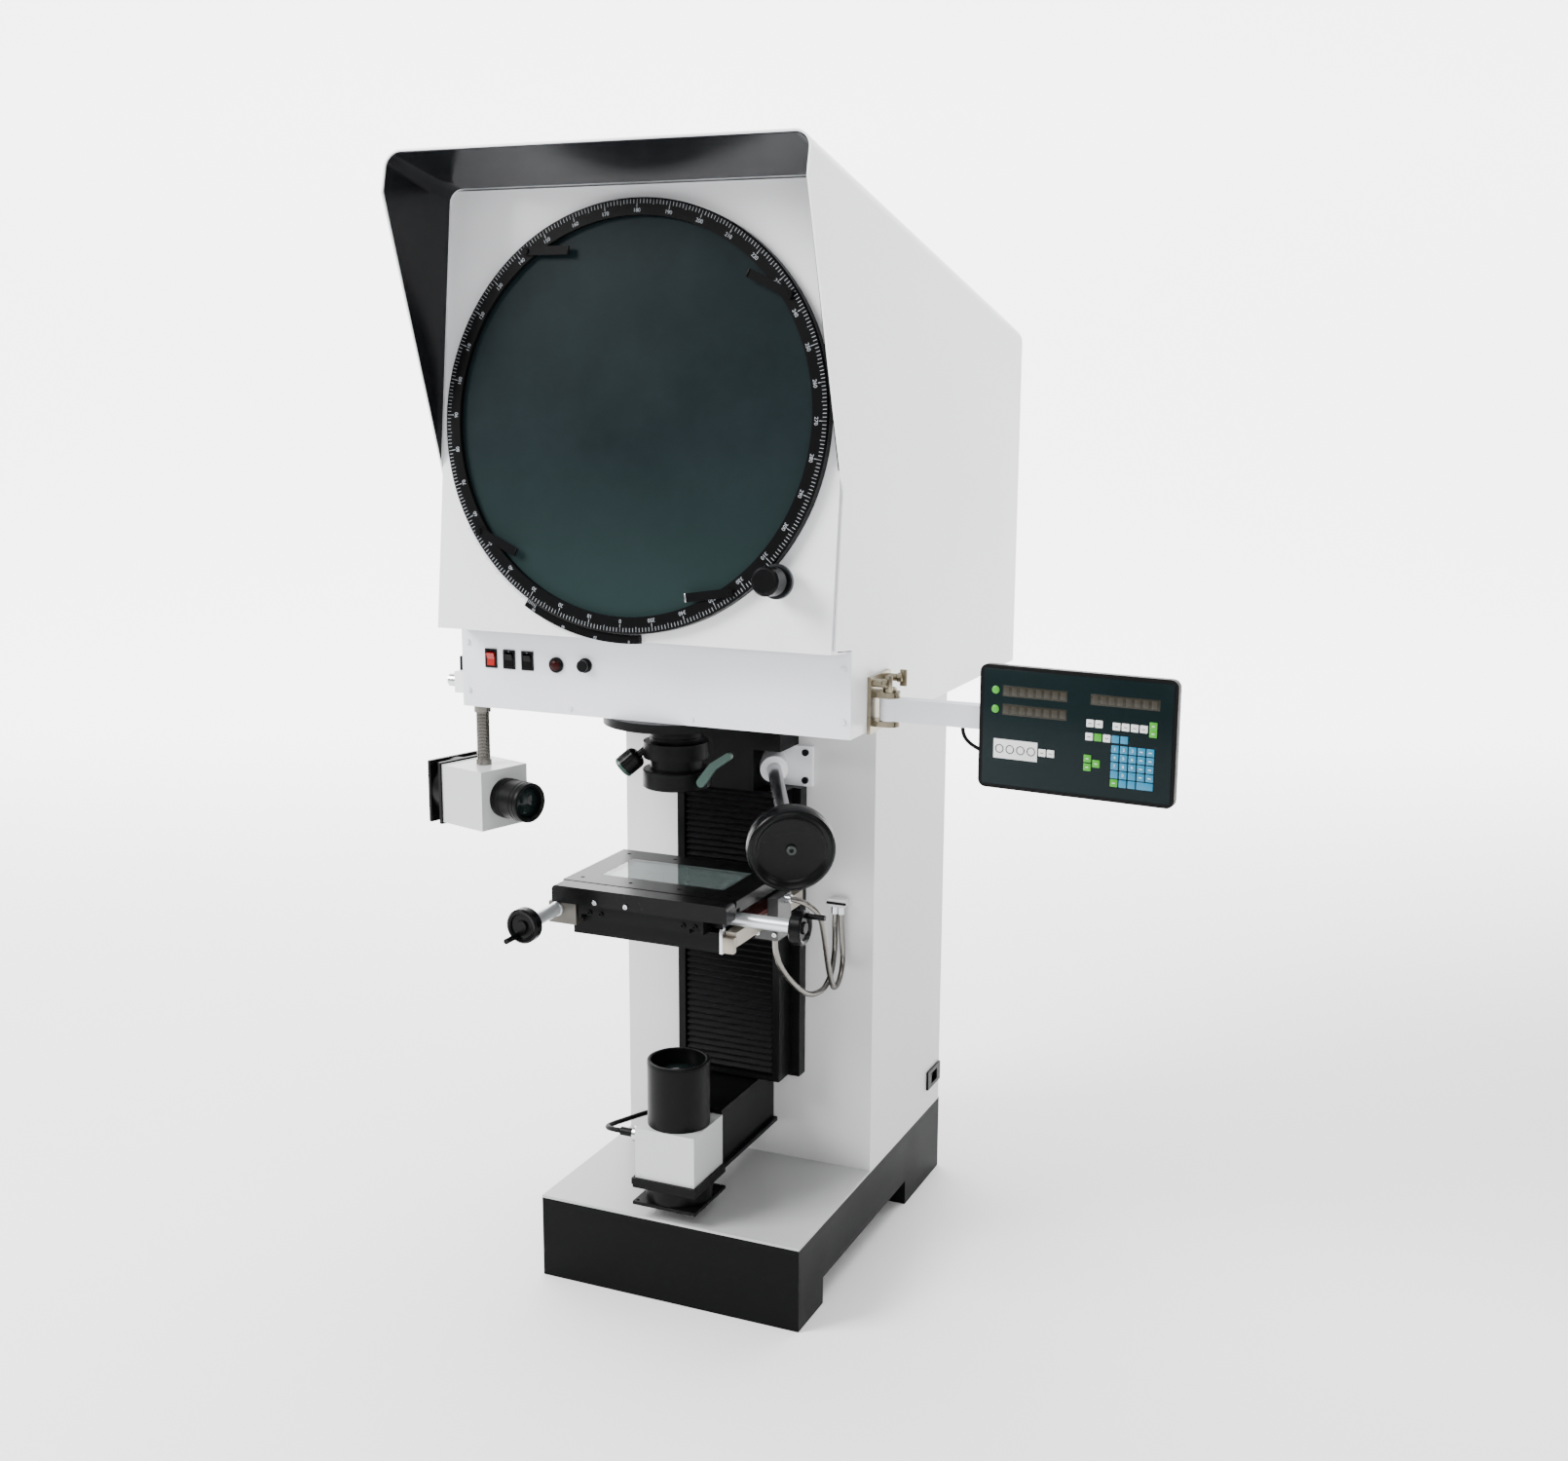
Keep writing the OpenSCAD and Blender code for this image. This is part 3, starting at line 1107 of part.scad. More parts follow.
base_casting();
base_plate();
column_shell();
rear_covers();
cable_fittings();
head_shell();
visor_lining();
screen_plate();
control_panel();
switch_bezels();
rocker_red();
rocker_left();
rocker_right();
panel_fittings();
ring_bearing();
protractor_ring();
screen_glass();
chart_clip(clip_places[0]);  // chart_clip_a
chart_clip(clip_places[1]);  // chart_clip_b
chart_clip(clip_places[2]);  // chart_clip_c
chart_clip(clip_places[3]);  // chart_clip_d
vernier_plate();
ring_knob();
mirrors();
lens_mount();
lens_barrel();
lens_glass();
lens_knob();
lens_lever();
slideway();
bellows_upper();
bellows_lower();
lead_screw();
handwheel_boss();
z_shaft();
z_handwheel();
carriage();
saddle();
reading_head();
cross_slide();
x_handwheel();
y_handwheel();
stage_table();
stage_glass();
scale_bar();
conduit_a();
conduit_b();
lamp_arm();
lamp_house();
lamp_optics();
lamp_fan_rotor();
lamp_lead();
surface_lamp();
surface_barrel();
surface_fan_rotor();
gooseneck();
readout_bracket();
readout_arm();
readout();
readout_lead();
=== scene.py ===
import json
import math

import bpy
from mathutils import Matrix, Vector


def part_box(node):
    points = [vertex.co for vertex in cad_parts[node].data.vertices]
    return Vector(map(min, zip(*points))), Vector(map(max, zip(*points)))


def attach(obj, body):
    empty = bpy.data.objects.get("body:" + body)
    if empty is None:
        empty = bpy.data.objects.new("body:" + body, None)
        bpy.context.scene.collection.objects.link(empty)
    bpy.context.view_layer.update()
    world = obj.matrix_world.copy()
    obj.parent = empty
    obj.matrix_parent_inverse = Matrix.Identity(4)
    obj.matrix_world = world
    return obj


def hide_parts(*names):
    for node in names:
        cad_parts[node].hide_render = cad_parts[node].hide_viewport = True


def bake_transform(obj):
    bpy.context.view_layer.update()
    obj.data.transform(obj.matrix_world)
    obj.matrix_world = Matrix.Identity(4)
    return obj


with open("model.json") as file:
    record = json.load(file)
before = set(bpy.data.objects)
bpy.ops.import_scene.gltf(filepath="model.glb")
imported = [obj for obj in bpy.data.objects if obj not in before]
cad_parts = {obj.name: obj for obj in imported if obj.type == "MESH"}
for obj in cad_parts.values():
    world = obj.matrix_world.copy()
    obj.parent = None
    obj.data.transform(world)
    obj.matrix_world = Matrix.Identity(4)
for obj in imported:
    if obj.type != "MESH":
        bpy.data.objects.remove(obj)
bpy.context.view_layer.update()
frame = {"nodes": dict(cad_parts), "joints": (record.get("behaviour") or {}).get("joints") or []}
nodes = frame["nodes"]
bpy.ops.object.select_all(action="DESELECT")

# Camera: it stands to the right of the screen and a little above the stage, and looks slightly down.
# The three rows are its right, its up and its forward direction; the lens gives the photograph's field.
camera_place = Vector((0.8914, -1.7457, 1.0585))
camera_right = Vector((0.916156, 0.400795, 0.004601))
camera_up = Vector((-0.082317, 0.176905, 0.980780))
camera_forward = Vector((-0.392278, 0.898926, -0.195065))
bpy.ops.object.camera_add()
camera = bpy.context.object
camera.name = "photo_camera"
camera.data.sensor_width = 36
camera.data.lens = 41.56
camera_turn = Matrix((camera_right, camera_up, -camera_forward)).transposed()
camera.matrix_world = Matrix.Translation(camera_place) @ camera_turn.to_4x4()
bpy.context.scene.camera = camera


# Paint and metal finishes: one shared grain of fine noise, with broad patches under it, varies tone and
# gloss and raises a slight relief, so that no surface is one flat colour.
def put(node, values):
    """Sets the values of a node's inputs."""
    for socket, value in values.items():
        node.inputs[socket].default_value = value


def add_node(tree, kind, values=None, operation=None):
    """A new node of a tree, with what it works out and the values of its inputs."""
    node = tree.nodes.new("ShaderNode" + kind)
    if operation:
        node.operation = operation
    put(node, values or {})
    return node


def wire(tree, source, output, target, socket):
    """Links one node's output to another node's input."""
    tree.links.new(source.outputs[output], target.inputs[socket])


grain = bpy.data.node_groups.new("surface_grain", "ShaderNodeTree")
grain.interface.new_socket("Vector", in_out="INPUT", socket_type="NodeSocketVector")
for socket in ("Scale", "Spread", "Roughness", "Gloss Spread"):
    grain.interface.new_socket(socket, in_out="INPUT", socket_type="NodeSocketFloat")
for socket in ("Tone", "Roughness", "Height"):
    grain.interface.new_socket(socket, in_out="OUTPUT", socket_type="NodeSocketFloat")
grain_in = grain.nodes.new("NodeGroupInput")
grain_out = grain.nodes.new("NodeGroupOutput")
fine = add_node(grain, "TexNoise", {"Detail": 3})
patch = add_node(grain, "TexNoise", {"Scale": 7, "Detail": 5})
wire(grain, grain_in, "Vector", fine, "Vector")
wire(grain, grain_in, "Vector", patch, "Vector")
wire(grain, grain_in, "Scale", fine, "Scale")
tone = add_node(grain, "MapRange", {"To Min": -1})
tone_scale = add_node(grain, "Math", {2: 1}, "MULTIPLY_ADD")
gloss = add_node(grain, "Math", operation="MULTIPLY_ADD")
wire(grain, patch, "Fac", tone, "Value")
wire(grain, tone, "Result", tone_scale, 0)
wire(grain, grain_in, "Spread", tone_scale, 1)
wire(grain, tone, "Result", gloss, 0)
wire(grain, grain_in, "Gloss Spread", gloss, 1)
wire(grain, grain_in, "Roughness", gloss, 2)
wire(grain, tone_scale, "Value", grain_out, "Tone")
wire(grain, gloss, "Value", grain_out, "Roughness")
wire(grain, fine, "Fac", grain_out, "Height")
gloss_share = 0.3
relief_depth = 0.0004
coat_roughness = 0.08


def finish(name, color, roughness, scale=600, relief=0.15, spread=0.06, metallic=0.0, coat=0.0, shine=0.5):
    """A material whose tone, gloss and relief come from the shared grain."""
    material = bpy.data.materials.new(name)
    material.use_nodes = True
    tree = material.node_tree
    shader = tree.nodes["Principled BSDF"]
    place = add_node(tree, "TexCoord")
    surface = add_node(tree, "Group")
    surface.name = "surface"
    surface.node_tree = grain
    put(surface,
        {"Scale": scale, "Spread": spread, "Roughness": roughness, "Gloss Spread": gloss_share * roughness})
    shade = add_node(tree, "HueSaturation")
    shade.name = "shade"
    put(shade, {"Color": (*color, 1)})
    bump = add_node(tree, "Bump", {"Strength": relief, "Distance": relief_depth})
    put(shader, {"Metallic": metallic, "Coat Weight": coat, "Coat Roughness": coat_roughness,
                 "Specular IOR Level": shine})
    wire(tree, place, "Object", surface, "Vector")
    wire(tree, surface, "Tone", shade, "Value")
    wire(tree, surface, "Roughness", shader, "Roughness")
    wire(tree, surface, "Height", bump, "Height")
    wire(tree, shade, "Color", shader, "Base Color")
    wire(tree, bump, "Normal", shader, "Normal")
    return material


def dress(node, material):
    """Gives a CAD node its finish."""
    nodes[node].data.materials.clear()
    nodes[node].data.materials.append(material)


box_mask = bpy.data.node_groups.new("box_mask", "ShaderNodeTree")
for socket in ("Place", "Middle", "Half"):
    box_mask.interface.new_socket(socket, in_out="INPUT", socket_type="NodeSocketVector")
box_mask.interface.new_socket("Mask", in_out="OUTPUT", socket_type="NodeSocketFloat")
mask_in = box_mask.nodes.new("NodeGroupInput")
mask_out = box_mask.nodes.new("NodeGroupOutput")
from_middle = add_node(box_mask, "VectorMath", operation="SUBTRACT")
distance = add_node(box_mask, "VectorMath", operation="ABSOLUTE")
past_side = add_node(box_mask, "VectorMath", operation="SUBTRACT")
sides = add_node(box_mask, "SeparateXYZ")
past_two = add_node(box_mask, "Math", operation="MAXIMUM")
past_any = add_node(box_mask, "Math", operation="MAXIMUM")
inside = add_node(box_mask, "Math", {1: 0}, "LESS_THAN")
wire(box_mask, mask_in, "Place", from_middle, 0)
wire(box_mask, mask_in, "Middle", from_middle, 1)
wire(box_mask, from_middle, "Vector", distance, 0)
wire(box_mask, distance, "Vector", past_side, 0)
wire(box_mask, mask_in, "Half", past_side, 1)
wire(box_mask, past_side, "Vector", sides, "Vector")
wire(box_mask, sides, "X", past_two, 0)
wire(box_mask, sides, "Y", past_two, 1)
wire(box_mask, past_two, "Value", past_any, 0)
wire(box_mask, sides, "Z", past_any, 1)
wire(box_mask, past_any, "Value", inside, 0)
wire(box_mask, inside, "Value", mask_out, "Mask")


def dress_part(node, other, low, high):
    """Shows another finish on a CAD node inside a box in millimetres, by a mask in the node's material."""
    material = nodes[node].data.materials[0].copy()
    dress(node, material)
    tree = material.node_tree
    mask = add_node(tree, "Group")
    mask.node_tree = box_mask
    put(mask, {"Middle": [(a + b) / 2000 for a, b in zip(low, high)],
               "Half": [(b - a) / 2000 for a, b in zip(low, high)]})
    wire(tree, tree.nodes["Texture Coordinate"], "Object", mask, "Place")
    for holder, socket in (("shade", "Color"), ("surface", "Roughness"), ("Principled BSDF", "Metallic")):
        target = tree.nodes[holder].inputs[socket]
        mix = add_node(tree, "Mix")
        mix.data_type = "RGBA" if socket == "Color" else "FLOAT"
        mix.inputs["A"].default_value = target.default_value
        mix.inputs["B"].default_value = other.node_tree.nodes[holder].inputs[socket].default_value
        if target.is_linked:
            tree.links.new(target.links[0].from_socket, mix.inputs["A"])
        wire(tree, mask, "Mask", mix, "Factor")
        tree.links.new(mix.outputs["Result"], target)


# Armoured conduits and leads: two wound-steel conduits hang from the reading heads to a clamp on the
# column. A rubber lead runs from the lamp plug into the column, and a thin one from the readout arm to the
# readout.
steel_wound = finish("steel_wound", (0.19, 0.18, 0.165), 0.26, scale=900, relief=0.1, spread=0.15,
                     metallic=1.0)
black_rubber = finish("black_rubber", (0.0035, 0.0035, 0.004), 0.5, scale=1500, relief=0.2, spread=0.2,
                      shine=0.1)
conduit_route_a = [
    (120.3, 28, 484), (127.3, 28, 484), (137, 29, 482.5), (146, 31.5, 478.5), (152.5, 36, 472),
    (156, 41, 464), (156, 48, 453.5), (153.5, 60.5, 435.5), (150, 74.5, 416.5), (146, 89.5, 397.5),
    (142, 105.5, 377.5), (138, 125.5, 355.5), (135, 140, 347), (133, 156, 347), (131, 170.5, 355.5),
    (129.5, 179, 369.5), (128.5, 180, 386), (127.2, 180, 404), (126.5, 180, 420), (126.5, 180, 433.5)
]
conduit_route_b = [
    (114, 14, 439.7), (114, 15, 428), (114.5, 18.5, 418.5), (115, 24, 408), (116, 32.5, 397.5),
    (117, 44, 386), (118.5, 58.5, 373.5), (120, 74, 362), (121, 89, 353.5), (122, 104, 348),
    (123, 119.5, 345.5), (124, 134, 346), (124.3, 147, 351.5), (124, 158, 360), (122.7, 167, 372.5),
    (121, 174, 386), (118.5, 180, 412), (118.5, 180, 433.5)
]
lamp_route = [
    (-75.7, 0, 185), (-81.9, 0.5, 184.6), (-88, 2, 184), (-93.9, 5.2, 182.7), (-99, 10, 181),
    (-102.6, 16.4, 179.1), (-105, 24, 177), (-106, 42, 173), (-103, 62, 170), (-97, 84, 168),
    (-89, 108, 166), (-81, 132, 165), (-75, 156, 165), (-72, 174, 165), (-72, 186.7, 165)
]
readout_route = [
    (330, 0, 700.2), (330.2, 0.2, 696), (331, 1, 692), (333, 1.8, 688), (336.8, 2.8, 683.8),
    (342, 4, 680), (348.4, 5.5, 676.8), (355, 7, 674.2), (362, 8, 672), (369, 8.2, 670.4),
    (376, 7.3, 669), (382, 5, 668), (388.4, 0.4, 667.3), (393, -6, 667), (395.4, -12.3, 667),
    (396, -18.5, 667)
]


def smooth_route(route, step):
    """The route in metres as evenly spaced points on a smooth curve through its own points."""
    parts = 24
    points = [Vector(p) / 1000 for p in route]
    padded = [2 * points[0] - points[1]] + points + [2 * points[-1] - points[-2]]
    dense = []
    for k in range(len(points) - 1):
        a, b, c, d = padded[k:k + 4]
        for t in (j / parts for j in range(parts)):
            dense.append(0.5 * (2 * b + (c - a) * t + (2 * a - 5 * b + 4 * c - d) * t ** 2
                                + (3 * b - a - 3 * c + d) * t ** 3))
    dense.append(points[-1])
    even = [dense[0]]
    travelled = 0.0
    for a, b in zip(dense, dense[1:]):
        travelled += (b - a).length
        if travelled >= step:
            even.append(b)
            travelled = 0.0
    even[-1] = points[-1]
    return even


def hose(name, route, radius, rib, sides, step, material):
    """A closed tube along a route; rib is how deep every second ring is sunk, for a wound-strip hose."""
    path = smooth_route(route, step)
    verts = []
    side = Vector((0.5, -0.6, 0.62))
    for k, point in enumerate(path):
        ahead = (path[min(k + 1, len(path) - 1)] - path[max(k - 1, 0)]).normalized()
        side = (side - ahead * side.dot(ahead)).normalized()
        across = ahead.cross(side)
        ring = radius - (rib if k % 2 else 0)
        for j in range(sides):
            turn = 2 * math.pi * j / sides
            verts.append(point + ring * (math.cos(turn) * side + math.sin(turn) * across))
    faces = []
    for k in range(len(path) - 1):
        low = k * sides
        high = low + sides
        for j in range(sides):
            beside = (j + 1) % sides
            faces.append([low + j, low + beside, high + beside, high + j])
    faces.append(list(range(sides))[::-1])
    faces.append([(len(path) - 1) * sides + j for j in range(sides)])
    mesh = bpy.data.meshes.new(name)
    mesh.from_pydata(verts, [], faces)
    for face in mesh.polygons:
        face.use_smooth = len(face.vertices) == 4
    mesh.materials.append(material)
    piece = bpy.data.objects.new(name, mesh)
    bpy.context.collection.objects.link(piece)
    length = sum((b - a).length for a, b in zip(path, path[1:]))
    return piece, path, length


conduit_radius = 0.0034
strip_depth = 0.0004
strip_step = 0.0011
for letter, route in (("a", conduit_route_a), ("b", conduit_route_b)):
    piece, path, length = hose("conduit_armour_" + letter, route, conduit_radius, strip_depth, 12,
                               strip_step, steel_wound)
    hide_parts("conduit_" + letter)
    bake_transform(piece)
lamp_radius = 0.003
lamp_cable, path, length = hose("lamp_cable", lamp_route, lamp_radius, 0, 12, 0.004, black_rubber)
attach(lamp_cable, "frame")
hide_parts("lamp_lead")
lead_radius = 0.002
readout_cable, path, length = hose("readout_cable", readout_route, lead_radius, 0, 10, 0.003, black_rubber)
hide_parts("readout_lead")
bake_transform(readout_cable)


# Studio: a pale floor that curves up into a bright wall, a large soft light from the upper left front, a
# weak one from the front, one above and one on the head's right side. Past the wall's ends the surround
# looks as pale as the wall, but it lights the object only dimly, so that black stays black.
def only(piece):
    """Makes one piece the selected and active one."""
    bpy.ops.object.select_all(action="DESELECT")
    piece.select_set(True)
    bpy.context.view_layer.objects.active = piece


cove_half, cove_front, cove_run, cove_bend, cove_top = 9, -6, 3.2, 2, 9
sweep = [(cove_front, 0), (cove_run, 0)]
bend_steps = 12
for step in range(1, bend_steps + 1):
    turn = step * math.pi / (2 * bend_steps)
    sweep.append((cove_run + cove_bend * math.sin(turn), cove_bend * (1 - math.cos(turn))))
sweep.append((cove_run + cove_bend, cove_top))
cove_mesh = bpy.data.meshes.new("studio_cove")
cove_edge = [(-cove_half, y, z) for y, z in sweep]
cove_mesh.from_pydata(cove_edge, [(k, k + 1) for k in range(len(sweep) - 1)], [])
cove = bpy.data.objects.new("studio_cove", cove_mesh)
bpy.context.collection.objects.link(cove)
only(cove)
bpy.ops.object.mode_set(mode="EDIT")
bpy.ops.mesh.select_all(action="SELECT")
bpy.ops.mesh.extrude_region_move(TRANSFORM_OT_translate={"value": (2 * cove_half, 0, 0)})
bpy.ops.mesh.select_all(action="SELECT")
bpy.ops.mesh.normals_make_consistent(inside=False)
bpy.ops.object.mode_set(mode="OBJECT")
bpy.ops.object.shade_smooth()
cove_turn = math.radians(23.6)
cove.rotation_euler = (0, 0, cove_turn)
cove.location = (0, 0, -0.0005)
bpy.ops.object.transform_apply(location=True, rotation=True, scale=True)
cove_paint = finish("cove_paint", (0.92, 0.92, 0.92), 0.7, scale=40, relief=0.0, spread=0.01, shine=0.1)
tree = cove_paint.node_tree
glow_way = (-0.40, 0.92, 0.35)
glow_start, glow_full = 0.2, 4.2
glow_strength = 3.8
cove_place = add_node(tree, "TexCoord")
cove_back = add_node(tree, "VectorMath", {1: glow_way}, "DOT_PRODUCT")
cove_glow = add_node(tree, "MapRange", {"From Min": glow_start, "From Max": glow_full})
cove_glow.interpolation_type = "SMOOTHSTEP"
wire(tree, cove_place, "Object", cove_back, 0)
wire(tree, cove_back, "Value", cove_glow, "Value")
wire(tree, cove_glow, "Result", tree.nodes["Principled BSDF"], "Emission Color")
put(tree.nodes["Principled BSDF"], {"Emission Strength": glow_strength})
cove.data.materials.append(cove_paint)
for label, place, aim, size, power in (
        ("key_light", (-2.4, -2.2, 3.0), (0, 0, 0.7), 1.8, 330),
        ("fill_light", (1.6, -3.2, 1.8), (0, 0, 0.7), 1.6, 45),
        ("top_light", (0.2, 0.2, 3.3), (0, 0, 0.6), 2.2, 110)):
    bpy.ops.object.light_add(type="AREA", location=place)
    lamp = bpy.context.object
    lamp.name = label
    lamp.data.size = size
    lamp.data.energy = power
    lamp.rotation_euler = (Vector(aim) - Vector(place)).to_track_quat("-Z", "Y").to_euler()
head_light_place = (3.2, -0.9, 2.1)
head_light_way = Vector((-2.97, 1.1, -1.02))
bpy.ops.object.light_add(type="SPOT", location=head_light_place)
head_light = bpy.context.object
head_light.name = "head_light"
head_light.data.energy = 210
head_light.data.spot_size = math.radians(20)
head_light.data.spot_blend = 1
head_light.data.shadow_soft_size = 0.5
head_light.rotation_euler = head_light_way.to_track_quat("-Z", "Y").to_euler()
surround_light = 0.4
surround_seen = 3.7
world = bpy.data.worlds.new("studio_surround")
world.use_nodes = True
tree = world.node_tree
put(tree.nodes["Background"], {"Color": (1, 1, 1, 1)})
seen_ray = add_node(tree, "LightPath")
surround_strength = add_node(tree, "Math", {1: surround_seen, 2: surround_light}, "MULTIPLY_ADD")
wire(tree, seen_ray, "Is Camera Ray", surround_strength, 0)
wire(tree, surround_strength, "Value", tree.nodes["Background"], "Strength")
bpy.context.scene.world = world

# Base: an iron casting in wrinkled black enamel, with a cross channel that leaves two feet. A light grey
# sheet plate is laid on its top.
black_enamel = finish("black_enamel", (0.0030, 0.0032, 0.0034), 0.42, scale=420, relief=0.3, spread=0.2,
                      shine=0.06)
plate_grey = finish("plate_grey", (0.38, 0.39, 0.385), 0.36, scale=700, relief=0.06, spread=0.03)
dress("base_casting", black_enamel)
dress("base_plate", plate_grey)

# Column: folded and welded steel sheet in a pale satin enamel. A louvred cover is screwed over its open
# back. Both take a greyer copy of the white enamel, whose darker tone is painted shade.
white_enamel = finish("white_enamel", (0.80, 0.81, 0.83), 0.34, scale=750, relief=0.08, spread=0.02,
                      coat=0.2)
# The white enamel made darker: the darker tone is painted shade.
column_shaded_white = finish("column_shaded_white", (0.60, 0.60, 0.605), 0.36, scale=750, relief=0.08, spread=0.02,
                     coat=0.15)
dress("column_shell", column_shaded_white)
dress("rear_covers", column_shaded_white)


def turned(name, profile, steps):
    """A turned piece: a profile of (radius, height) in millimetres is spun about Z."""
    mesh = bpy.data.meshes.new(name)
    points = [(r / 1000, 0, h / 1000) for r, h in profile]
    mesh.from_pydata(points, [(k, k + 1) for k in range(len(points) - 1)], [])
    piece = bpy.data.objects.new(name, mesh)
    bpy.context.collection.objects.link(piece)
    only(piece)
    bpy.ops.object.mode_set(mode="EDIT")
    bpy.ops.mesh.select_all(action="SELECT")
    bpy.ops.mesh.spin(steps=steps, angle=2 * math.pi, center=(0, 0, 0), axis=(0, 0, 1))
    bpy.ops.mesh.select_all(action="SELECT")
    bpy.ops.mesh.remove_doubles(threshold=1e-6)
    bpy.ops.mesh.normals_make_consistent(inside=False)
    bpy.ops.object.mode_set(mode="OBJECT")
    bpy.ops.object.shade_smooth_by_angle(angle=math.radians(35))
    return piece


def slab(name, low, high, edge):
    """A block between two corners in millimetres, with its edges rounded."""
    low = Vector(low) / 1000
    high = Vector(high) / 1000
    bpy.ops.object.select_all(action="DESELECT")
    bpy.ops.mesh.primitive_cube_add(size=1, location=(low + high) / 2)
    piece = bpy.context.object
    piece.name = name
    piece.scale = high - low
    bpy.ops.object.transform_apply(location=True, rotation=True, scale=True)
    if edge:
        rounded = piece.modifiers.new("edge", "BEVEL")
        rounded.width = edge / 1000
        rounded.segments = 2
        bpy.ops.object.modifier_apply(modifier="edge")
    bpy.ops.object.shade_smooth_by_angle(angle=math.radians(40))
    return piece


def join(pieces, name):
    """Joins pieces into the first one."""
    only(pieces[0])
    for piece in pieces[1:]:
        piece.select_set(True)
    bpy.ops.object.join()
    pieces[0].name = name
    return pieces[0]


def repeat(piece, places, name):
    """Sets a copy of a piece, with its own mesh, at each place, and joins them."""
    copies = []
    for place in places:
        only(piece)
        bpy.ops.object.duplicate(linked=False)
        copy = bpy.context.object
        copy.matrix_world = place
        bpy.ops.object.transform_apply(location=True, rotation=True, scale=True)
        copies.append(copy)
    bpy.data.objects.remove(piece, do_unlink=True)
    return join(copies, name)


def rotation(degrees, axis="Z"):
    """A turn about an axis."""
    return Matrix.Rotation(math.radians(degrees), 4, axis)


def at(x, y, z, facing="Z"):
    """A place in millimetres; facing is the way a turned piece's axis points."""
    turns = {"Z": Matrix(), "-Z": rotation(180, "X"), "Y": rotation(-90, "X"), "-Y": rotation(90, "X"),
             "X": rotation(90, "Y")}
    return Matrix.Translation((x / 1000, y / 1000, z / 1000)) @ turns[facing]


def settle(piece, place, material, body):
    """Puts a piece's place into its mesh, gives it its finish and lets it ride on a body."""
    only(piece)
    piece.matrix_world = place @ piece.matrix_world
    bpy.ops.object.transform_apply(location=True, rotation=True, scale=True)
    piece.data.materials.clear()
    piece.data.materials.append(material)
    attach(piece, body)
    return piece


# Cover screws: plated steel screws with pan heads along the sides of the two rear covers. Each head has a
# round recess for the driver.
bright_metal = finish("bright_metal", (0.56, 0.57, 0.59), 0.24, scale=500, relief=0.05, metallic=1.0)
pan_head = [(0, 1.2), (1.1, 1.2), (1.2, 2.1), (2.6, 2.0), (3.6, 1.2), (3.9, 0), (0, -0.3)]
column_cover = [(x, 447, z) for x in (-148, 148) for z in (112, 396, 676)]
head_cover = [(x, 513, z) for x in (-212, 212) for z in (712, 900, 1088)]


def fasten(name, profile, places, body="frame", material=bright_metal, steps=20,
           carrier=Matrix()):
    """Turned pieces of one kind, joined and set on a body; their places are counted from the carrier's."""
    return settle(repeat(turned(name, profile, steps), places, name), carrier, material, body)


fasten("cover_screws", pan_head, [at(*p, "Y") for p in column_cover + head_cover])

# Cable fittings: a black mains inlet, a pale clamp with a dark tie for the conduits, a bright round plug on
# the lamp house and a white block with a bright adapter on the left side of the head.
black_plastic = finish("black_plastic", (0.0032, 0.0032, 0.0036), 0.34, scale=1300, relief=0.1, spread=0.2,
                       shine=0.1)
dress("cable_fittings", black_plastic)
dress_part("cable_fittings", bright_metal, (-58, -12, 170), (-37, 12, 200))
# The clamp takes the column's darkened white enamel, so its darker tone is painted shade as well.
dress_part("cable_fittings", column_shaded_white, (111, 173, 433), (134, 188, 444))
dress_part("cable_fittings", white_enamel, (-250, -70, 690), (-232, -30, 728))
dress_part("cable_fittings", bright_metal, (-260, -70, 690), (-246.5, -30, 728))
plug_nut = turned("plug_nut", [(9.6, 0), (11.2, 0.6), (11.2, 6.4), (9.6, 7), (9.6, 0)], 12)
settle(plug_nut, at(-45, 0, 185, "X"), bright_metal, "frame")
clamp_ferrule = [(3.5, 0), (4.6, 0.5), (4.6, 9), (4.0, 9.5), (3.5, 9.5), (3.5, 0)]
fasten("clamp_ferrules", clamp_ferrule, [at(126.6, 180, 424), at(118.5, 180, 424)], steps=24)
lead_grommet = turned("lead_grommet",
                      [(3.1, 0), (5.4, 0), (5.4, 1.2), (4.4, 2.2), (3.1, 2.2), (3.1, 0)], 24)
settle(lead_grommet, at(-72, 187, 165, "-Y"), black_rubber, "frame")
clamp_bar = slab("clamp_bar", (110, 172, 437), (135, 174.6, 440), 0.8)
settle(clamp_bar, Matrix(), black_plastic, "frame")

# Head: a folded sheet housing in white enamel. Its visor is lined in gloss black against stray light, and
# two mirrors inside turn the light from the lens to the screen.
gloss_black = finish("gloss_black", (0.0060, 0.0064, 0.0076), 0.22, scale=300, relief=0.02, spread=0.3,
                     shine=0.13)
dress("head_shell", white_enamel)
dress("visor_lining", gloss_black)
dress("screen_plate", white_enamel)
dress("mirrors", bright_metal)


# Protractor ring: black anodised aluminium, engraved with a line for each degree, longer ones at five and
# ten, and a number at every ten; the marks are filled with white. Its frame has Z out of the glass.
def joint(name):
    """The frame's entry for a joint."""
    return next(j for j in frame["joints"] if j["name"] == name)


screen_tilt = 6.4
screen_place = Matrix.Translation(joint("ring_turn")["pos_m"]) @ rotation(90 - screen_tilt, "X")
ring_face = 12
anodised = finish("anodised_black", (0.0028, 0.0029, 0.0032), 0.34, scale=900, relief=0.05, spread=0.2,
                  shine=0.05)
mark_white = finish("mark_white", (0.26, 0.28, 0.30), 0.5, scale=800, relief=0.03, spread=0.05)
dress("protractor_ring", anodised)


def spread_round(piece, count, angle):
    """Repeats a piece's mesh at equal steps round Z."""
    only(piece)
    bpy.ops.object.mode_set(mode="EDIT")
    bpy.ops.mesh.select_all(action="SELECT")
    to_last = angle * (count - 1) / count
    bpy.ops.mesh.spin(steps=count - 1, angle=to_last, center=(0, 0, 0), axis=(0, 0, 1), dupli=True)
    bpy.ops.object.mode_set(mode="OBJECT")
    return piece


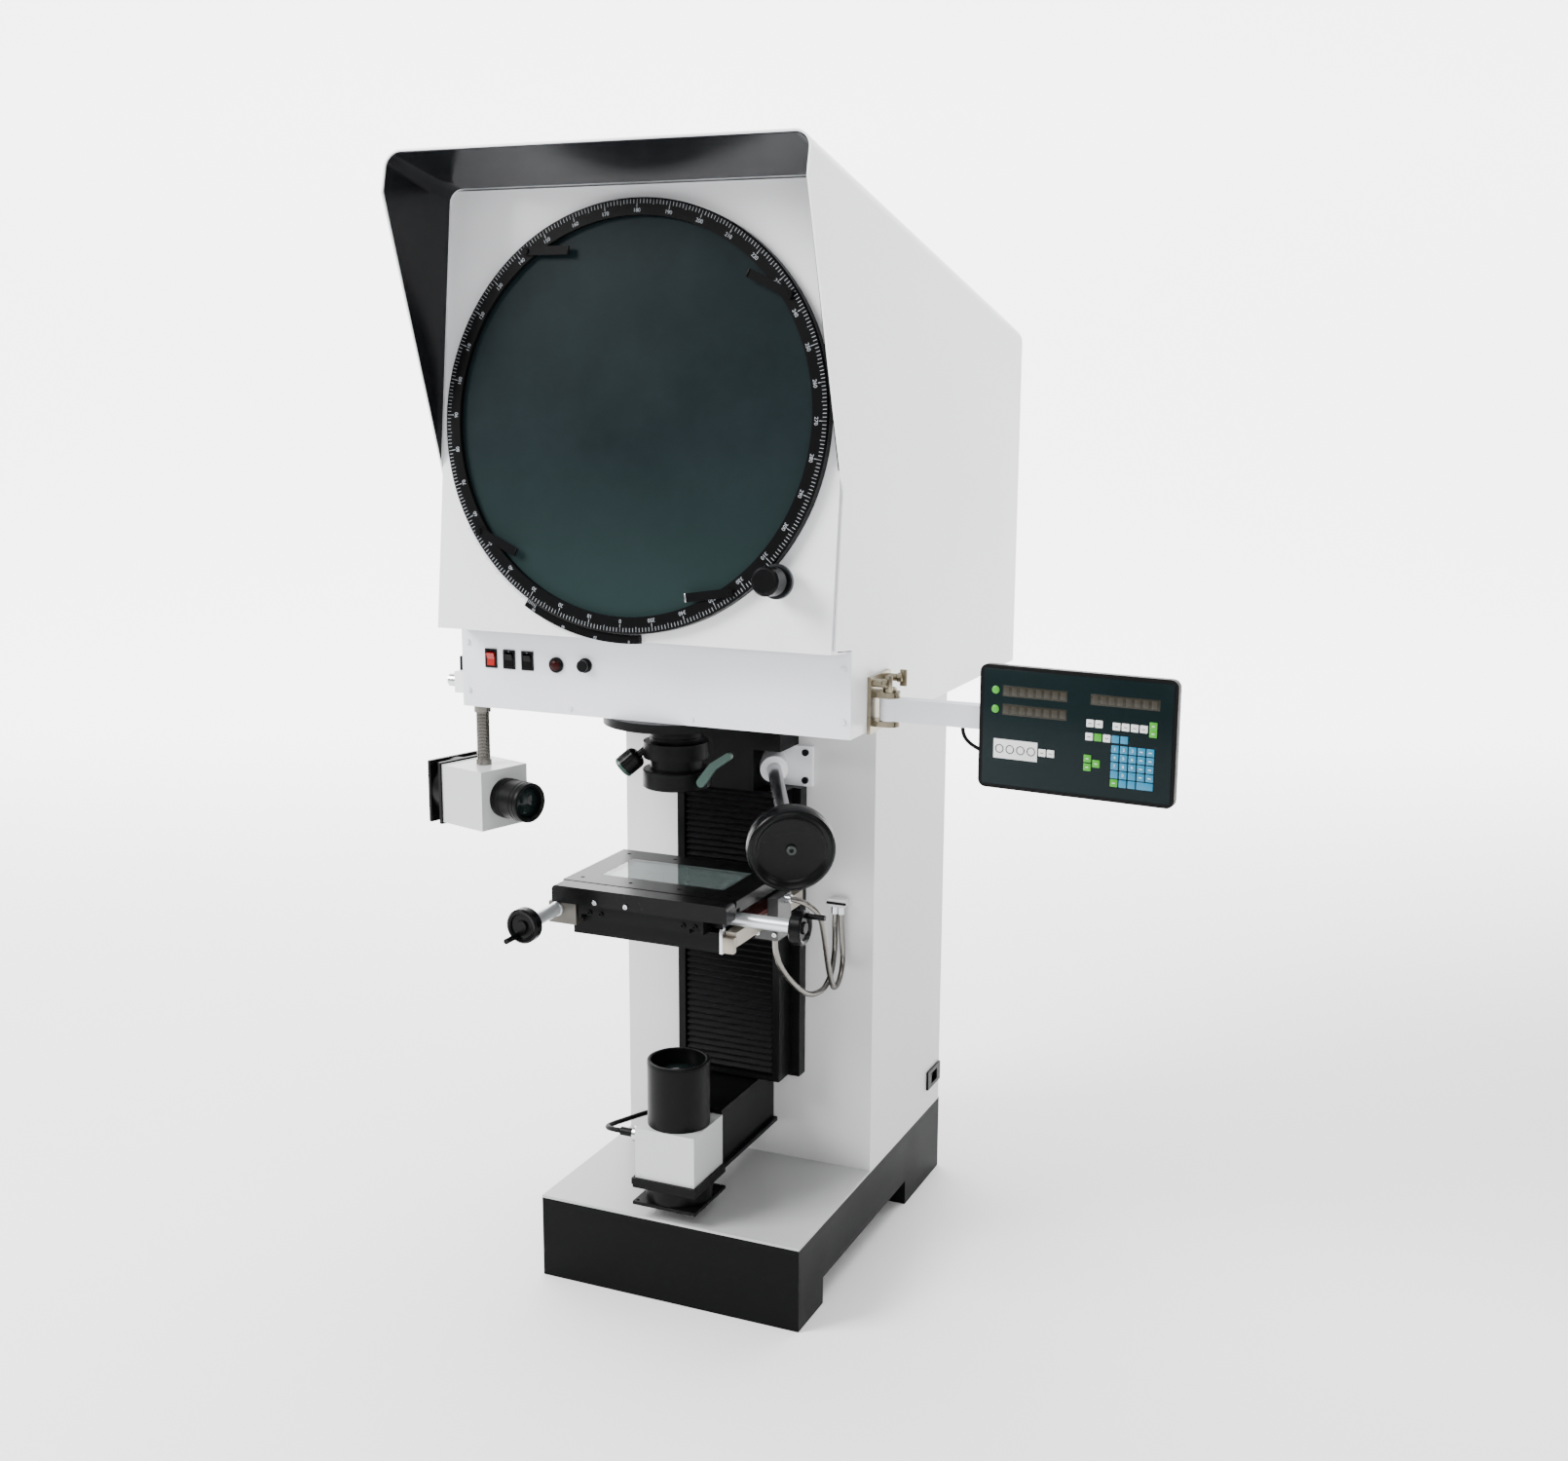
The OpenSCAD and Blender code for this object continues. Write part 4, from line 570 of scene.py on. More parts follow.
def engraved_line(inner, outer, half, face):
    """A filled line on a ring's face, between two radii."""
    return slab("engraved_line", (inner, -half, face - 0.1), (outer, half, face + 0.12), 0)


mark_outer = 217.4
lines = []
for count, inner, half in ((360, 213.2, 0.28), (72, 212.2, 0.3), (36, 209.6, 0.34)):
    lines.append(spread_round(engraved_line(inner, mark_outer, half, ring_face), count, 2 * math.pi))
digit_rise = 0.0001
ring_digit_size = 0.0056
digit_reach = 206.3


def numeral(value, size):
    """A plain number as a thin raised mesh."""
    bpy.ops.object.select_all(action="DESELECT")
    bpy.ops.object.text_add()
    digits = bpy.context.object
    digits.data.body = str(value)
    digits.data.size = size
    digits.data.extrude = digit_rise
    digits.data.align_x = "CENTER"
    digits.data.align_y = "CENTER"
    bpy.ops.object.convert(target="MESH")
    return digits


def settle_digits(digits, place):
    """Sets a number upright on a ring, its foot towards the rim."""
    digits.matrix_world = place @ rotation(-90) @ digits.matrix_world
    only(digits)
    bpy.ops.object.transform_apply(location=True, rotation=True, scale=True)


for degree in range(0, 360, 10):
    digits = numeral(degree, ring_digit_size)
    settle_digits(digits, rotation(-90 - degree) @ at(digit_reach, 0, ring_face))
    lines.append(digits)
settle(join(lines, "degree_scale"), screen_place, mark_white, "screen_ring")

# Screen glass: finely ground glass, dark with the lamp off. Its tone varies in broad cloudy patches and is
# paler towards its lower rim.
fade_top, fade_foot = 0.98, 0.79
ground_glass = bpy.data.materials.new("ground_glass")
ground_glass.use_nodes = True
tree = ground_glass.node_tree
shader = tree.nodes["Principled BSDF"]
place = add_node(tree, "TexCoord")
cloud = add_node(tree, "TexNoise", {"Scale": 6, "Detail": 7, "Roughness": 0.62})
tint = add_node(tree, "ValToRGB")
tint.color_ramp.elements[0].position = 0.3
tint.color_ramp.elements[0].color = (0.0028, 0.0064, 0.0074, 1)
tint.color_ramp.elements[1].position = 0.78
tint.color_ramp.elements[1].color = (0.0082, 0.0142, 0.0160, 1)
height = add_node(tree, "SeparateXYZ")
low_rim = add_node(tree, "MapRange", {"From Min": fade_top, "From Max": fade_foot})
paler = add_node(tree, "Mix")
paler.data_type = "RGBA"
put(paler, {"B": (0.0140, 0.0262, 0.0262, 1)})
ground = add_node(tree, "TexNoise", {"Scale": 2500})
ground_bump = add_node(tree, "Bump", {"Strength": 0.06, "Distance": 0.0002})
put(shader, {"Roughness": 0.36, "Specular IOR Level": 0.06})
wire(tree, place, "Object", cloud, "Vector")
wire(tree, place, "Object", ground, "Vector")
wire(tree, place, "Object", height, "Vector")
wire(tree, height, "Z", low_rim, "Value")
wire(tree, low_rim, "Result", paler, "Factor")
wire(tree, cloud, "Fac", tint, "Fac")
wire(tree, tint, "Color", paler, "A")
wire(tree, paler, "Result", shader, "Base Color")
wire(tree, ground, "Fac", ground_bump, "Height")
wire(tree, ground_bump, "Normal", shader, "Normal")
dress("screen_glass", ground_glass)
dress("ring_bearing", bright_metal)

# Chart clips: black spring leaves on shoulder screws; each leaf's tip is bent down, and one tip is bright
# metal.
clip_ring = 211
clip_length = 50
tip_half = 4.4
clip_screw = [(0, 15.2), (0.9, 15.2), (1.0, 15.9), (2.6, 15.9), (3.5, 15.2), (3.5, 14)]
for letter, angle, points in (("a", 127, 0), ("b", 35, 155), ("c", -145, -24), ("d", -54, 189)):
    dress("chart_clip_" + letter, anodised)
    clip_place = screen_place @ rotation(angle) @ at(clip_ring, 0, 0) @ rotation(points - angle)
    tip_low = (clip_length - 0.6, -tip_half, ring_face + 0.4)
    tip_high = (clip_length + 1.2, tip_half, ring_face + 2.6)
    tip = slab("clip_tip_" + letter, tip_low, tip_high, 0.4)
    settle(tip, clip_place, bright_metal if letter == "d" else anodised, "clip_" + letter)
    screw = turned("clip_screw_" + letter, clip_screw, 24)
    settle(screw, clip_place, anodised, "clip_" + letter)

# Vernier: a black anodised arc fixed below the ring. It has finer lines of its own, every tenth one longer,
# and four numbers.
dress("vernier_plate", anodised)
vernier_face = 6
vernier_step = 0.5
vernier_start = -118
vernier_inner = 220.9
vernier_digit_size = 0.0040
vernier_digit_reach = 227.4
fine_line = engraved_line(vernier_inner, 224.2, 0.24, vernier_face)
long_line = engraved_line(vernier_inner, 225.2, 0.28, vernier_face)
vernier_marks = [spread_round(fine_line, 61, math.radians(61 * vernier_step)),
                 spread_round(long_line, 7, math.radians(70 * vernier_step))]
for number in range(0, 61, 20):
    digits = numeral(number, vernier_digit_size)
    settle_digits(digits, rotation((60 - number) * vernier_step) @ at(vernier_digit_reach, 0, vernier_face))
    vernier_marks.append(digits)
vernier_place = screen_place @ rotation(vernier_start)
settle(join(vernier_marks, "vernier_marks"), vernier_place, mark_white, "frame")

# Ring knob: moulded black knob on a turned disc; the disc's rim is polished, and the knob's end has a
# shallow dish.
knob_black = finish("knob_black", (0.0030, 0.0031, 0.0034), 0.26, scale=700, relief=0.08, spread=0.15,
                    shine=0.1)
disc_rim = finish("disc_rim", (0.05, 0.055, 0.06), 0.22, relief=0.04, spread=0.1, metallic=0.8)
dress("ring_knob", knob_black)
knob_angle = -42
knob_reach = 235
knob_place = screen_place @ rotation(knob_angle) @ at(knob_reach, 0, 0) @ rotation(-knob_angle)
knob_disc = turned("knob_disc",
                   [(14, 13.2), (17.4, 13.2), (17.6, 14), (17.6, 17.2), (17.2, 18.2), (14, 18.2)], 64)
settle(knob_disc, knob_place, disc_rim, "ring_knob")
knob_dish = [(14.6, 42), (14.8, 44), (13.4, 46.2), (12.2, 46.4), (11.4, 45.8), (9, 45.5), (0, 45.4)]
knob_cap = turned("knob_cap", knob_dish, 48)
settle(knob_cap, knob_place, knob_black, "ring_knob")

# Control panel: an aluminium sheet in light grey, with snap-in rocker switches, a pilot lamp and a fuse
# holder.
panel_grey = finish("panel_grey", (0.72, 0.735, 0.78), 0.4, scale=650, relief=0.06, spread=0.025)
rocker_red = finish("rocker_red", (0.30, 0.006, 0.004), 0.25, scale=500, relief=0.02, spread=0.1)
lamp_red = finish("lamp_red", (0.022, 0.003, 0.003), 0.25, scale=400, relief=0.02, spread=0.2, shine=0.2)
dress("control_panel", panel_grey)
dress("switch_bezels", black_plastic)
dress("rocker_red", rocker_red)
dress("rocker_left", black_plastic)
dress("rocker_right", black_plastic)
dress("panel_fittings", knob_black)
dress_part("panel_fittings", lamp_red, (-117, -74, 738), (-105, -70.2, 750))
panel_screw = [(0, 0.9), (0.8, 0.9), (0.9, 1.5), (2.4, 1.4), (3, 0.7), (3, -0.2)]
panel_places = [(x, -66, 697) for x in (-95, 52)]
panel_places += [(x, -66.9, z) for x in (-224, 224) for z in (708, 762)]
fasten("panel_screws", panel_screw, [at(*p, "-Y") for p in panel_places], material=panel_grey)
switch_dashes = []
for x in (-170.8, -147.6):
    switch_dashes.append(slab("switch_dash", (x - 0.8, -67.75, 754.4), (x + 0.8, -67.4, 755.1), 0.05))
settle(join(switch_dashes, "switch_dashes"), Matrix(), mark_white, "frame")

# Lens: a black barrel in a flange that is screwed under the head. Its collar carries a ribbed clamp knob
# and a bent green lever.
satin_black = finish("satin_black", (0.0030, 0.0031, 0.0033), 0.34, scale=800, relief=0.08, spread=0.2,
                     shine=0.08)
lever_green = finish("lever_green", (0.010, 0.045, 0.033), 0.4, scale=500, relief=0.08, spread=0.12)
dress("lens_mount", satin_black)
dress("lens_barrel", satin_black)
dress("lens_knob", knob_black)
dress("lens_lever", lever_green)
clear_glass = bpy.data.materials.new("clear_glass")
clear_glass.use_nodes = True
tree = clear_glass.node_tree
shader = tree.nodes["Principled BSDF"]
put(shader, {"Base Color": (0.56, 0.70, 0.67, 1), "Transmission Weight": 0.92, "IOR": 1.5})
smear = add_node(tree, "TexNoise", {"Scale": 45})
smear_range = add_node(tree, "MapRange", {"To Min": 0.01, "To Max": 0.06})
place = add_node(tree, "TexCoord")
wire(tree, place, "Object", smear, "Vector")
wire(tree, smear, "Fac", smear_range, "Value")
wire(tree, smear_range, "Result", shader, "Roughness")
dress("lens_glass", clear_glass)
knob_joint = joint("lens_knob_turn")
knob_axis = Vector(knob_joint["axis"]).to_track_quat("Z", "Y").to_matrix().to_4x4()
knob_out = Matrix.Translation(knob_joint["pos_m"]) @ knob_axis


def trim_ring(name, radius, rise, low, width, corner, steps):
    """A raised ring round a barrel or a tube, its corners cut off."""
    high = low + width
    top = radius + rise
    return turned(name, [(radius, low), (top, low + corner), (top, high - corner), (radius, high)], steps)


knob_ring = trim_ring("lens_knob_ring", 11.8, 0.6, 27, 3, 0.3, 48)
settle(knob_ring, knob_out, lever_green, "lens_knob")
knob_grip = spread_round(slab("lens_knob_grip", (11.7, -0.8, 12), (12.5, 0.8, 26), 0.3), 24, 2 * math.pi)
settle(knob_grip, knob_out, knob_black, "lens_knob")
barrel_rings = [trim_ring("barrel_ring", 29, 0.7, h, 2, 0.4, 64) for h in (662, 668, 674)]
settle(join(barrel_rings, "barrel_rings"), Matrix(), satin_black, "frame")
flange_reach = 44
flange_places = []
for degrees in (210, 255, 300, 345):
    angle = math.radians(degrees)
    flange_places.append(at(flange_reach * math.cos(angle), flange_reach * math.sin(angle), 680, "-Z"))
fasten("flange_screws", pan_head, flange_places)

# Slideway: a black painted casting on the column's front with the lead screw inside. Beside it stand the
# white boss, held by two cap screws, and the bright shaft of the big handwheel.
ground_steel = finish("ground_steel", (0.48, 0.48, 0.50), 0.26, scale=900, relief=0.04, spread=0.05,
                      metallic=1.0)
dress("slideway", satin_black)
dress("lead_screw", ground_steel)
dress("handwheel_boss", white_enamel)
dress_part("handwheel_boss", black_plastic, (74.5, 177.9, 575), (83.5, 180.9, 622))
dress("z_shaft", ground_steel)
boss_cap = [(0, 0.3), (1.6, 0.3), (1.8, 0.9), (3.4, 0.9), (4.2, 0.2), (4.2, -0.5)]
boss_places = [at(79, 178, z, "-Y") for z in (583, 616.5)]
fasten("boss_caps", boss_cap, boss_places, material=black_plastic, steps=24)

# Bellows: coated black cloth folded into pleats over the slideway, above and below the carriage.
bellows_cloth = finish("bellows_cloth", (0.0078, 0.0078, 0.0084), 0.62, scale=900, spread=0.25, shine=0.08)
pleat_depth = 0.005
cloth_parts = 18
cloth_gap = 0.0004
cloth_thickness = 0.0008
fold_round = 0.0004
sag_out, sag_down = 0.0003, 0.0005
wave_across, wave_up = 17, 9
for name, pleats, fixed_above in (("upper", 14, True), ("lower", 22, False)):
    low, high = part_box("bellows_" + name)
    pitch = (high.z - low.z) / pleats
    part_width = (high.x - low.x) / cloth_parts
    folds = []
    for k in range(2 * pleats + 1):
        folds.append((low.x, low.y + pleat_depth * (1 - k % 2), low.z + pitch * k / 2))
    mesh = bpy.data.meshes.new("bellows_cloth_" + name)
    mesh.from_pydata(folds, [(k, k + 1) for k in range(2 * pleats)], [])
    cloth = bpy.data.objects.new("bellows_cloth_" + name, mesh)
    bpy.context.collection.objects.link(cloth)
    only(cloth)
    bpy.ops.object.mode_set(mode="EDIT")
    bpy.ops.mesh.select_all(action="SELECT")
    for part in range(cloth_parts):
        bpy.ops.mesh.extrude_region_move(TRANSFORM_OT_translate={"value": (part_width, 0, 0)})
    bpy.ops.mesh.select_all(action="SELECT")
    bpy.ops.mesh.normals_make_consistent(inside=False)
    bpy.ops.object.mode_set(mode="OBJECT")
    for vertex in mesh.vertices:
        across = (vertex.co.x - low.x) / (high.x - low.x)
        slack = math.sin(math.pi * across) * math.sin(wave_across * across + wave_up * vertex.co.z / pitch)
        vertex.co.y += cloth_gap + sag_out * slack
        vertex.co.z += sag_down * slack * math.sin(math.pi * (vertex.co.z - low.z) / (high.z - low.z))
    thick = cloth.modifiers.new("thick", "SOLIDIFY")
    thick.thickness = cloth_thickness
    thick.offset = 0
    bpy.ops.object.modifier_apply(modifier="thick")
    round_fold = cloth.modifiers.new("round_fold", "BEVEL")
    round_fold.width = fold_round
    round_fold.segments = 1
    round_fold.limit_method = "ANGLE"
    bpy.ops.object.modifier_apply(modifier="round_fold")
    mesh.materials.append(bellows_cloth)
    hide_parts("bellows_" + name)
    ends = [Vector((0, low.y, high.z)), Vector((0, low.y, low.z))]
    if not fixed_above:
        ends.reverse()
    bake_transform(cloth)

# Big handwheel: glossy moulded plastic with a rounded rim and a dished face. A hexagon-socket bolt holds it
# on the end of the slanting shaft.
dress("z_handwheel", knob_black)
bolt_green = finish("bolt_green", (0.030, 0.036, 0.034), 0.35, scale=500, relief=0.08, spread=0.15,
                    metallic=0.6)
shaft_foot = at(51, 152, 599)
shaft_length = 207.6
shaft_turn, shaft_lean = 28.65, 99.7
wheel_place = shaft_foot @ rotation(shaft_turn) @ rotation(shaft_lean, "X") @ at(0, 0, shaft_length)
wheel_dish = [(0, 15.1), (0, 17.4), (31.5, 17.8), (33, 18.5), (34.2, 18.6), (36, 19.3), (38.5, 21.4)]
wheel_face = turned("wheel_face", wheel_dish, 96)
settle(wheel_face, wheel_place, knob_black, "z_wheel")
wheel_rim = turned("wheel_rim",
                   [(36.5, 19.6), (39.5, 22.6), (42.5, 24.1), (44.6, 23.6), (46.6, 21.6), (47.6, 18)], 96)
settle(wheel_rim, wheel_place, knob_black, "z_wheel")
bolt_head = turned("bolt_head", [(2.6, 18.2), (2.6, 20.4), (4.8, 20.6), (5.6, 19.8), (5.6, 17.6)], 32)
settle(bolt_head, wheel_place, bolt_green, "z_wheel")
bolt_socket = turned("bolt_socket", [(0, 18.4), (2.7, 18.4), (2.7, 18)], 6)
settle(bolt_socket, wheel_place, satin_black, "z_wheel")

# Stage: black enamelled carriage and saddle, a polished black table with a glass insert, bright drive
# tubes, black handwheels with crank pins, and a scale bar with its reading head.
stage_black = finish("stage_black", (0.0030, 0.0030, 0.0032), 0.24, scale=500, relief=0.03, spread=0.25,
                     shine=0.1)
tube_silver = finish("tube_silver", (0.62, 0.65, 0.67), 0.3, scale=900, relief=0.04, spread=0.03,
                     metallic=0.7)
scale_pale = finish("scale_pale", (0.27, 0.24, 0.20), 0.3, scale=700, relief=0.05, metallic=0.5)
strip_red = finish("strip_red", (0.06, 0.012, 0.011), 0.5, scale=1200, relief=0.2, spread=0.3)
block_grey = finish("block_grey", (0.10, 0.095, 0.085), 0.34, scale=700, relief=0.05, spread=0.1,
                    metallic=0.7)
head_grey = finish("head_grey", (0.03, 0.03, 0.031), 0.36, scale=700, relief=0.06, spread=0.15)
dress("carriage", satin_black)
dress("saddle", satin_black)
dress_part("saddle", tube_silver, (-116, -160, 458), (-79, -88.1, 490))
dress_part("saddle", block_grey, (-116, -88.1, 458), (-79.8, -72.1, 490))
dress("cross_slide", satin_black)
dress_part("cross_slide", tube_silver, (87.9, -66, 470), (170, -45, 490))
dress("x_handwheel", knob_black)
dress("y_handwheel", knob_black)
dress("stage_table", stage_black)
dress("stage_glass", clear_glass)
dress("scale_bar", scale_pale)
dress_part("scale_bar", strip_red, (75, -41, 471.1), (110, 41, 480))
dress("reading_head", head_grey)
cap_head = [(0, 0.6), (1.3, 0.6), (1.4, 2.2), (2.4, 2.2), (2.7, 1.9), (2.7, -0.3)]
fasten("bar_screws", cap_head, [at(x, -95, 491, "-Y") for x in (-52, -14)], "x_table")
slide_places = [at(x, -89, 477, "-Y") for x in (-62, -48, 52, 66)]
fasten("slide_screws", cap_head, slide_places, "y_slide", satin_black)
for name, reach, place, body in (("x_tube_rings", (88, 162), at(0, -55.5, 481, "X"), "y_slide"),
                                 ("y_tube_rings", (88, 144), at(-104, 0, 476, "-Y"), "z_stage")):
    tube_rings = [trim_ring("tube_ring", 7.5, 0.6, h, 3.5, 0.3, 40) for h in reach]
    settle(join(tube_rings, name), place, tube_silver, body)
scale_bracket = slab("scale_bracket", (90, -79, 447), (93.6, -70, 475), 0.6)
settle(scale_bracket, Matrix(), bright_metal, "y_slide")
scale_end = slab("scale_end", (93.8, -80, 449), (107, -72.2, 466), 0.8)
settle(scale_end, Matrix(), scale_pale, "y_slide")
fasten("strip_screws", cap_head, [at(85, y, 476) for y in (-32, 0, 32)], "y_slide")
fasten("head_screws", cap_head, [at(x, 8, 447, "-Y") for x in (96, 116)], "z_stage")
head_ferrule = [(3.5, -0.5), (5, 0), (5, 7), (4.2, 8), (3.5, 8), (3.5, -0.5)]
fasten("head_ferrules", head_ferrule, [at(120, 28, 484, "X")], "z_stage", steps=24)

# Lower lamp: white sheet house on a black arm, a black barrel with a condenser lens, and a cooling fan
# below. The house's white enamel is darkened as painted shade.
lens_dark = finish("lens_dark", (0.006, 0.010, 0.010), 0.08, scale=200, relief=0.01, spread=0.2, shine=0.25)
# A darker copy of the white enamel for the lamp houses: the darker tone is painted shade.
lamp_shaded_white = finish("lamp_shaded_white", (0.47, 0.48, 0.48), 0.34, scale=750, relief=0.08, spread=0.02, coat=0.2)
dress("lamp_arm", satin_black)
dress("lamp_house", lamp_shaded_white)
dress("lamp_optics", satin_black)
condenser = turned("condenser_face",
                   [(0, 275.2), (6, 275), (10, 274.6), (20, 272.2), (31.5, 268.3), (31.5, 267.8)], 96)
settle(condenser, Matrix(), lens_dark, "frame")
dress("lamp_fan_rotor", black_plastic)
barrel_lip = turned("lamp_barrel_lip",
                    [(31.5, 282), (31.5, 286.3), (33, 287), (35.6, 286.6), (36.2, 285.6), (36.2, 281)], 96)
settle(barrel_lip, Matrix(), satin_black, "frame")
house_screw = [(0, 0.4), (1.8, 0.4), (2.2, 0), (2.2, -0.3)]
house_places = [at(x, -37.5, z, "-Y") for x in (-33, 33) for z in (154, 206)]
fasten("house_screws", house_screw, house_places, material=lamp_shaded_white, steps=16)
fan_bolt = [(0, 23), (2.0, 23), (3.6, 24.4), (3.6, 25.6), (0, 26.2)]
fasten("fan_bolts", fan_bolt, [at(x, y, 142.4, "-Z") for x in (-35.5, 35.5) for y in (-35.5, 35.5)])

# Surface lamp: a white house that hangs from the head on a gooseneck of wound steel strip. It has a black
# barrel with a dark lens in front and its own fan behind. The house's white is darkened as painted shade.
dress("surface_lamp", lamp_shaded_white)
dress("surface_barrel", satin_black)
dress("surface_fan_rotor", black_plastic)
neck_low, neck_high, neck_ribs = 628, 682, 34
neck_profile = [(0, 608), (4, 608), (4, 622.4), (8.7, 622.4), (8.7, neck_low)]
for rib in range(neck_ribs):
    low = neck_low + rib * (neck_high - neck_low) / neck_ribs
    neck_profile += [(7.5, low + 0.2), (7.5, low + 1.05), (6.7, low + 1.3)]
neck_profile += [(7.5, neck_high), (9.5, 682.2), (9.5, 690), (0, 690)]
neck_x, neck_y = -216, -53
neck = settle(turned("wound_neck", neck_profile, 40), at(neck_x, neck_y, 0), steel_wound, "frame")
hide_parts("gooseneck")
surface_aim = -16.4
surface_place = at(neck_x, neck_y, 588.5) @ rotation(surface_aim) @ at(0, 0, 0, "X")
front_lens = turned("surface_lens", [(0, 70.6), (8, 70), (14, 68.6), (17.6, 67.6), (17.6, 67)], 64)
settle(front_lens, surface_place, lens_dark, "surface_lamp")
barrel_grips = [trim_ring("surface_grip", 22, 0.5, h, 2, 0.3, 64) for h in (38, 44, 62, 68)]
mouth_lip = [(17.7, 67), (17.7, 74.5), (19, 75.8), (21.6, 75.6), (22.2, 74.6), (22.2, 72)]
barrel_grips.append(turned("surface_mouth", mouth_lip, 64))
settle(join(barrel_grips, "surface_barrel_rings"), surface_place, satin_black, "surface_lamp")
fan_places = [at(y, z, -55.4, "-Z") for y in (-31, 31) for z in (-31, 31)]
fasten("surface_fan_screws", pan_head, fan_places, "surface_lamp", carrier=surface_place)

# Readout arm: a painted bar between two pins, with the readout on the outer one. A plated bracket with two
# thumb screws holds it to the head.
zinc_plate = finish("zinc_plate", (0.24, 0.21, 0.15), 0.28, scale=500, relief=0.05, spread=0.2,
                    metallic=1.0)
dress("readout_bracket", zinc_plate)
dress("readout_arm", panel_grey)
thumb_hub = turned("thumb_hub", [(0, 0), (4.2, 0), (5.2, 1), (5.2, 6), (4, 7), (0, 7)], 12)
thumb_wing = slab("thumb_wing", (-9, -1.2, 3), (9, 1.2, 11), 1)
thumb = join([thumb_hub, thumb_wing], "thumb")
thumb_screws = repeat(thumb, [at(246, y, 741, "X") for y in (-12, 32)], "thumb_screws")
settle(thumb_screws, Matrix(), zinc_plate, "frame")
pin_cap = [(0, 0), (7, 0), (7.4, 0.8), (7.4, 3), (5.8, 4.4), (0, 4.6)]
fasten("hinge_pin_cap", pin_cap, [at(250, 0, 731.2)], material=zinc_plate, steps=24)

# Readout: a black moulded case with a dark printed face, tinted display windows and domed rubber keys.
# Places on the face are counted from its upper left corner, across and down.
case_black = finish("case_black", (0.0030, 0.0030, 0.0032), 0.36, scale=900, relief=0.12, spread=0.15,
                    shine=0.08)
face_film = finish("face_film", (0.0036, 0.0084, 0.0094), 0.26, scale=700, relief=0.03, spread=0.15,
                   shine=0.09)
window_tint = finish("window_tint", (0.022, 0.020, 0.015), 0.16, scale=500, relief=0.02, spread=0.2,
                     shine=0.15)
digit_tint = finish("digit_tint", (0.030, 0.027, 0.021), 0.3, scale=500, relief=0.02, spread=0.2, shine=0.2)
key_white = finish("key_white", (0.58, 0.59, 0.58), 0.45, relief=0.05, spread=0.05)
key_green = finish("key_green", (0.026, 0.25, 0.003), 0.4, relief=0.05, spread=0.08)
key_blue = finish("key_blue", (0.003, 0.145, 0.265), 0.4, relief=0.05, spread=0.08)
dress("readout", case_black)
readout_pin_x = 388
readout_turn = -5.7
readout_place = at(readout_pin_x, 0, 0) @ rotation(readout_turn)
face_left, face_top, face_front = -20, 776, -52


def on_face(name, across, down, wide, high, rise, edge):
    """A raised plate on the readout's face, given by its middle."""
    x = face_left + across
    z = face_top - down
    low_corner = (x - wide / 2, face_front - rise, z - high / 2)
    high_corner = (x + wide / 2, face_front + 0.1, z + high / 2)
    return slab(name, low_corner, high_corner, edge)


film = on_face("readout_film", 100.5, 62, 193, 116, 0.5, 0.3)
settle(film, readout_place, face_film, "readout")
window_places = ((58, 25.3, 67, 10.8), (58, 43.7, 67, 11), (149.5, 25.6, 69, 10.6))
windows = [on_face("window", *w, 0.8, 0.3) for w in window_places]
settle(join(windows, "readout_windows"), readout_place, window_tint, "readout")
cells = []
cell_step = 8.4
for left, down in ((28.5, 25.3), (28.5, 43.7), (119.5, 25.6)):
    for cell in range(8):
        cells.append(on_face("cell", left + cell_step * cell, down, 5.4, 7.4, 0.9, 0.04))
settle(join(cells, "readout_cells"), readout_place, digit_tint, "readout")
key_width, key_height, key_rise, key_edge = 7.6, 7.4, 1.5, 0.6
key_step, row_step = 8.75, 8.3
keypad_left, keypad_top = 141.4, 71.6
last_row = keypad_top + 4 * row_step
mark_rise = key_rise + 0.1
white_keys = [(67.4, 83.2), (76.2, 83.2), (115.6, 48.9), (124.4, 48.9), (115, 62), (132.7, 62)]
white_keys += [(142 + 9 * k, 49.5) for k in range(4)]
green_keys = [(178.2, 45.7), (178.2, 53), (123.9, 62), (keypad_left, last_row)]
green_keys += [(114, 83.7), (114, 92.2), (122.9, 88)]
blue_keys = [(keypad_left + key_step * c, keypad_top + row_step * r) for r in range(4) for c in range(5)]
blue_keys += [(keypad_left, 62), (keypad_left + key_step, 62)]
blue_keys += [(keypad_left + key_step * c, last_row) for c in (1, 2)]
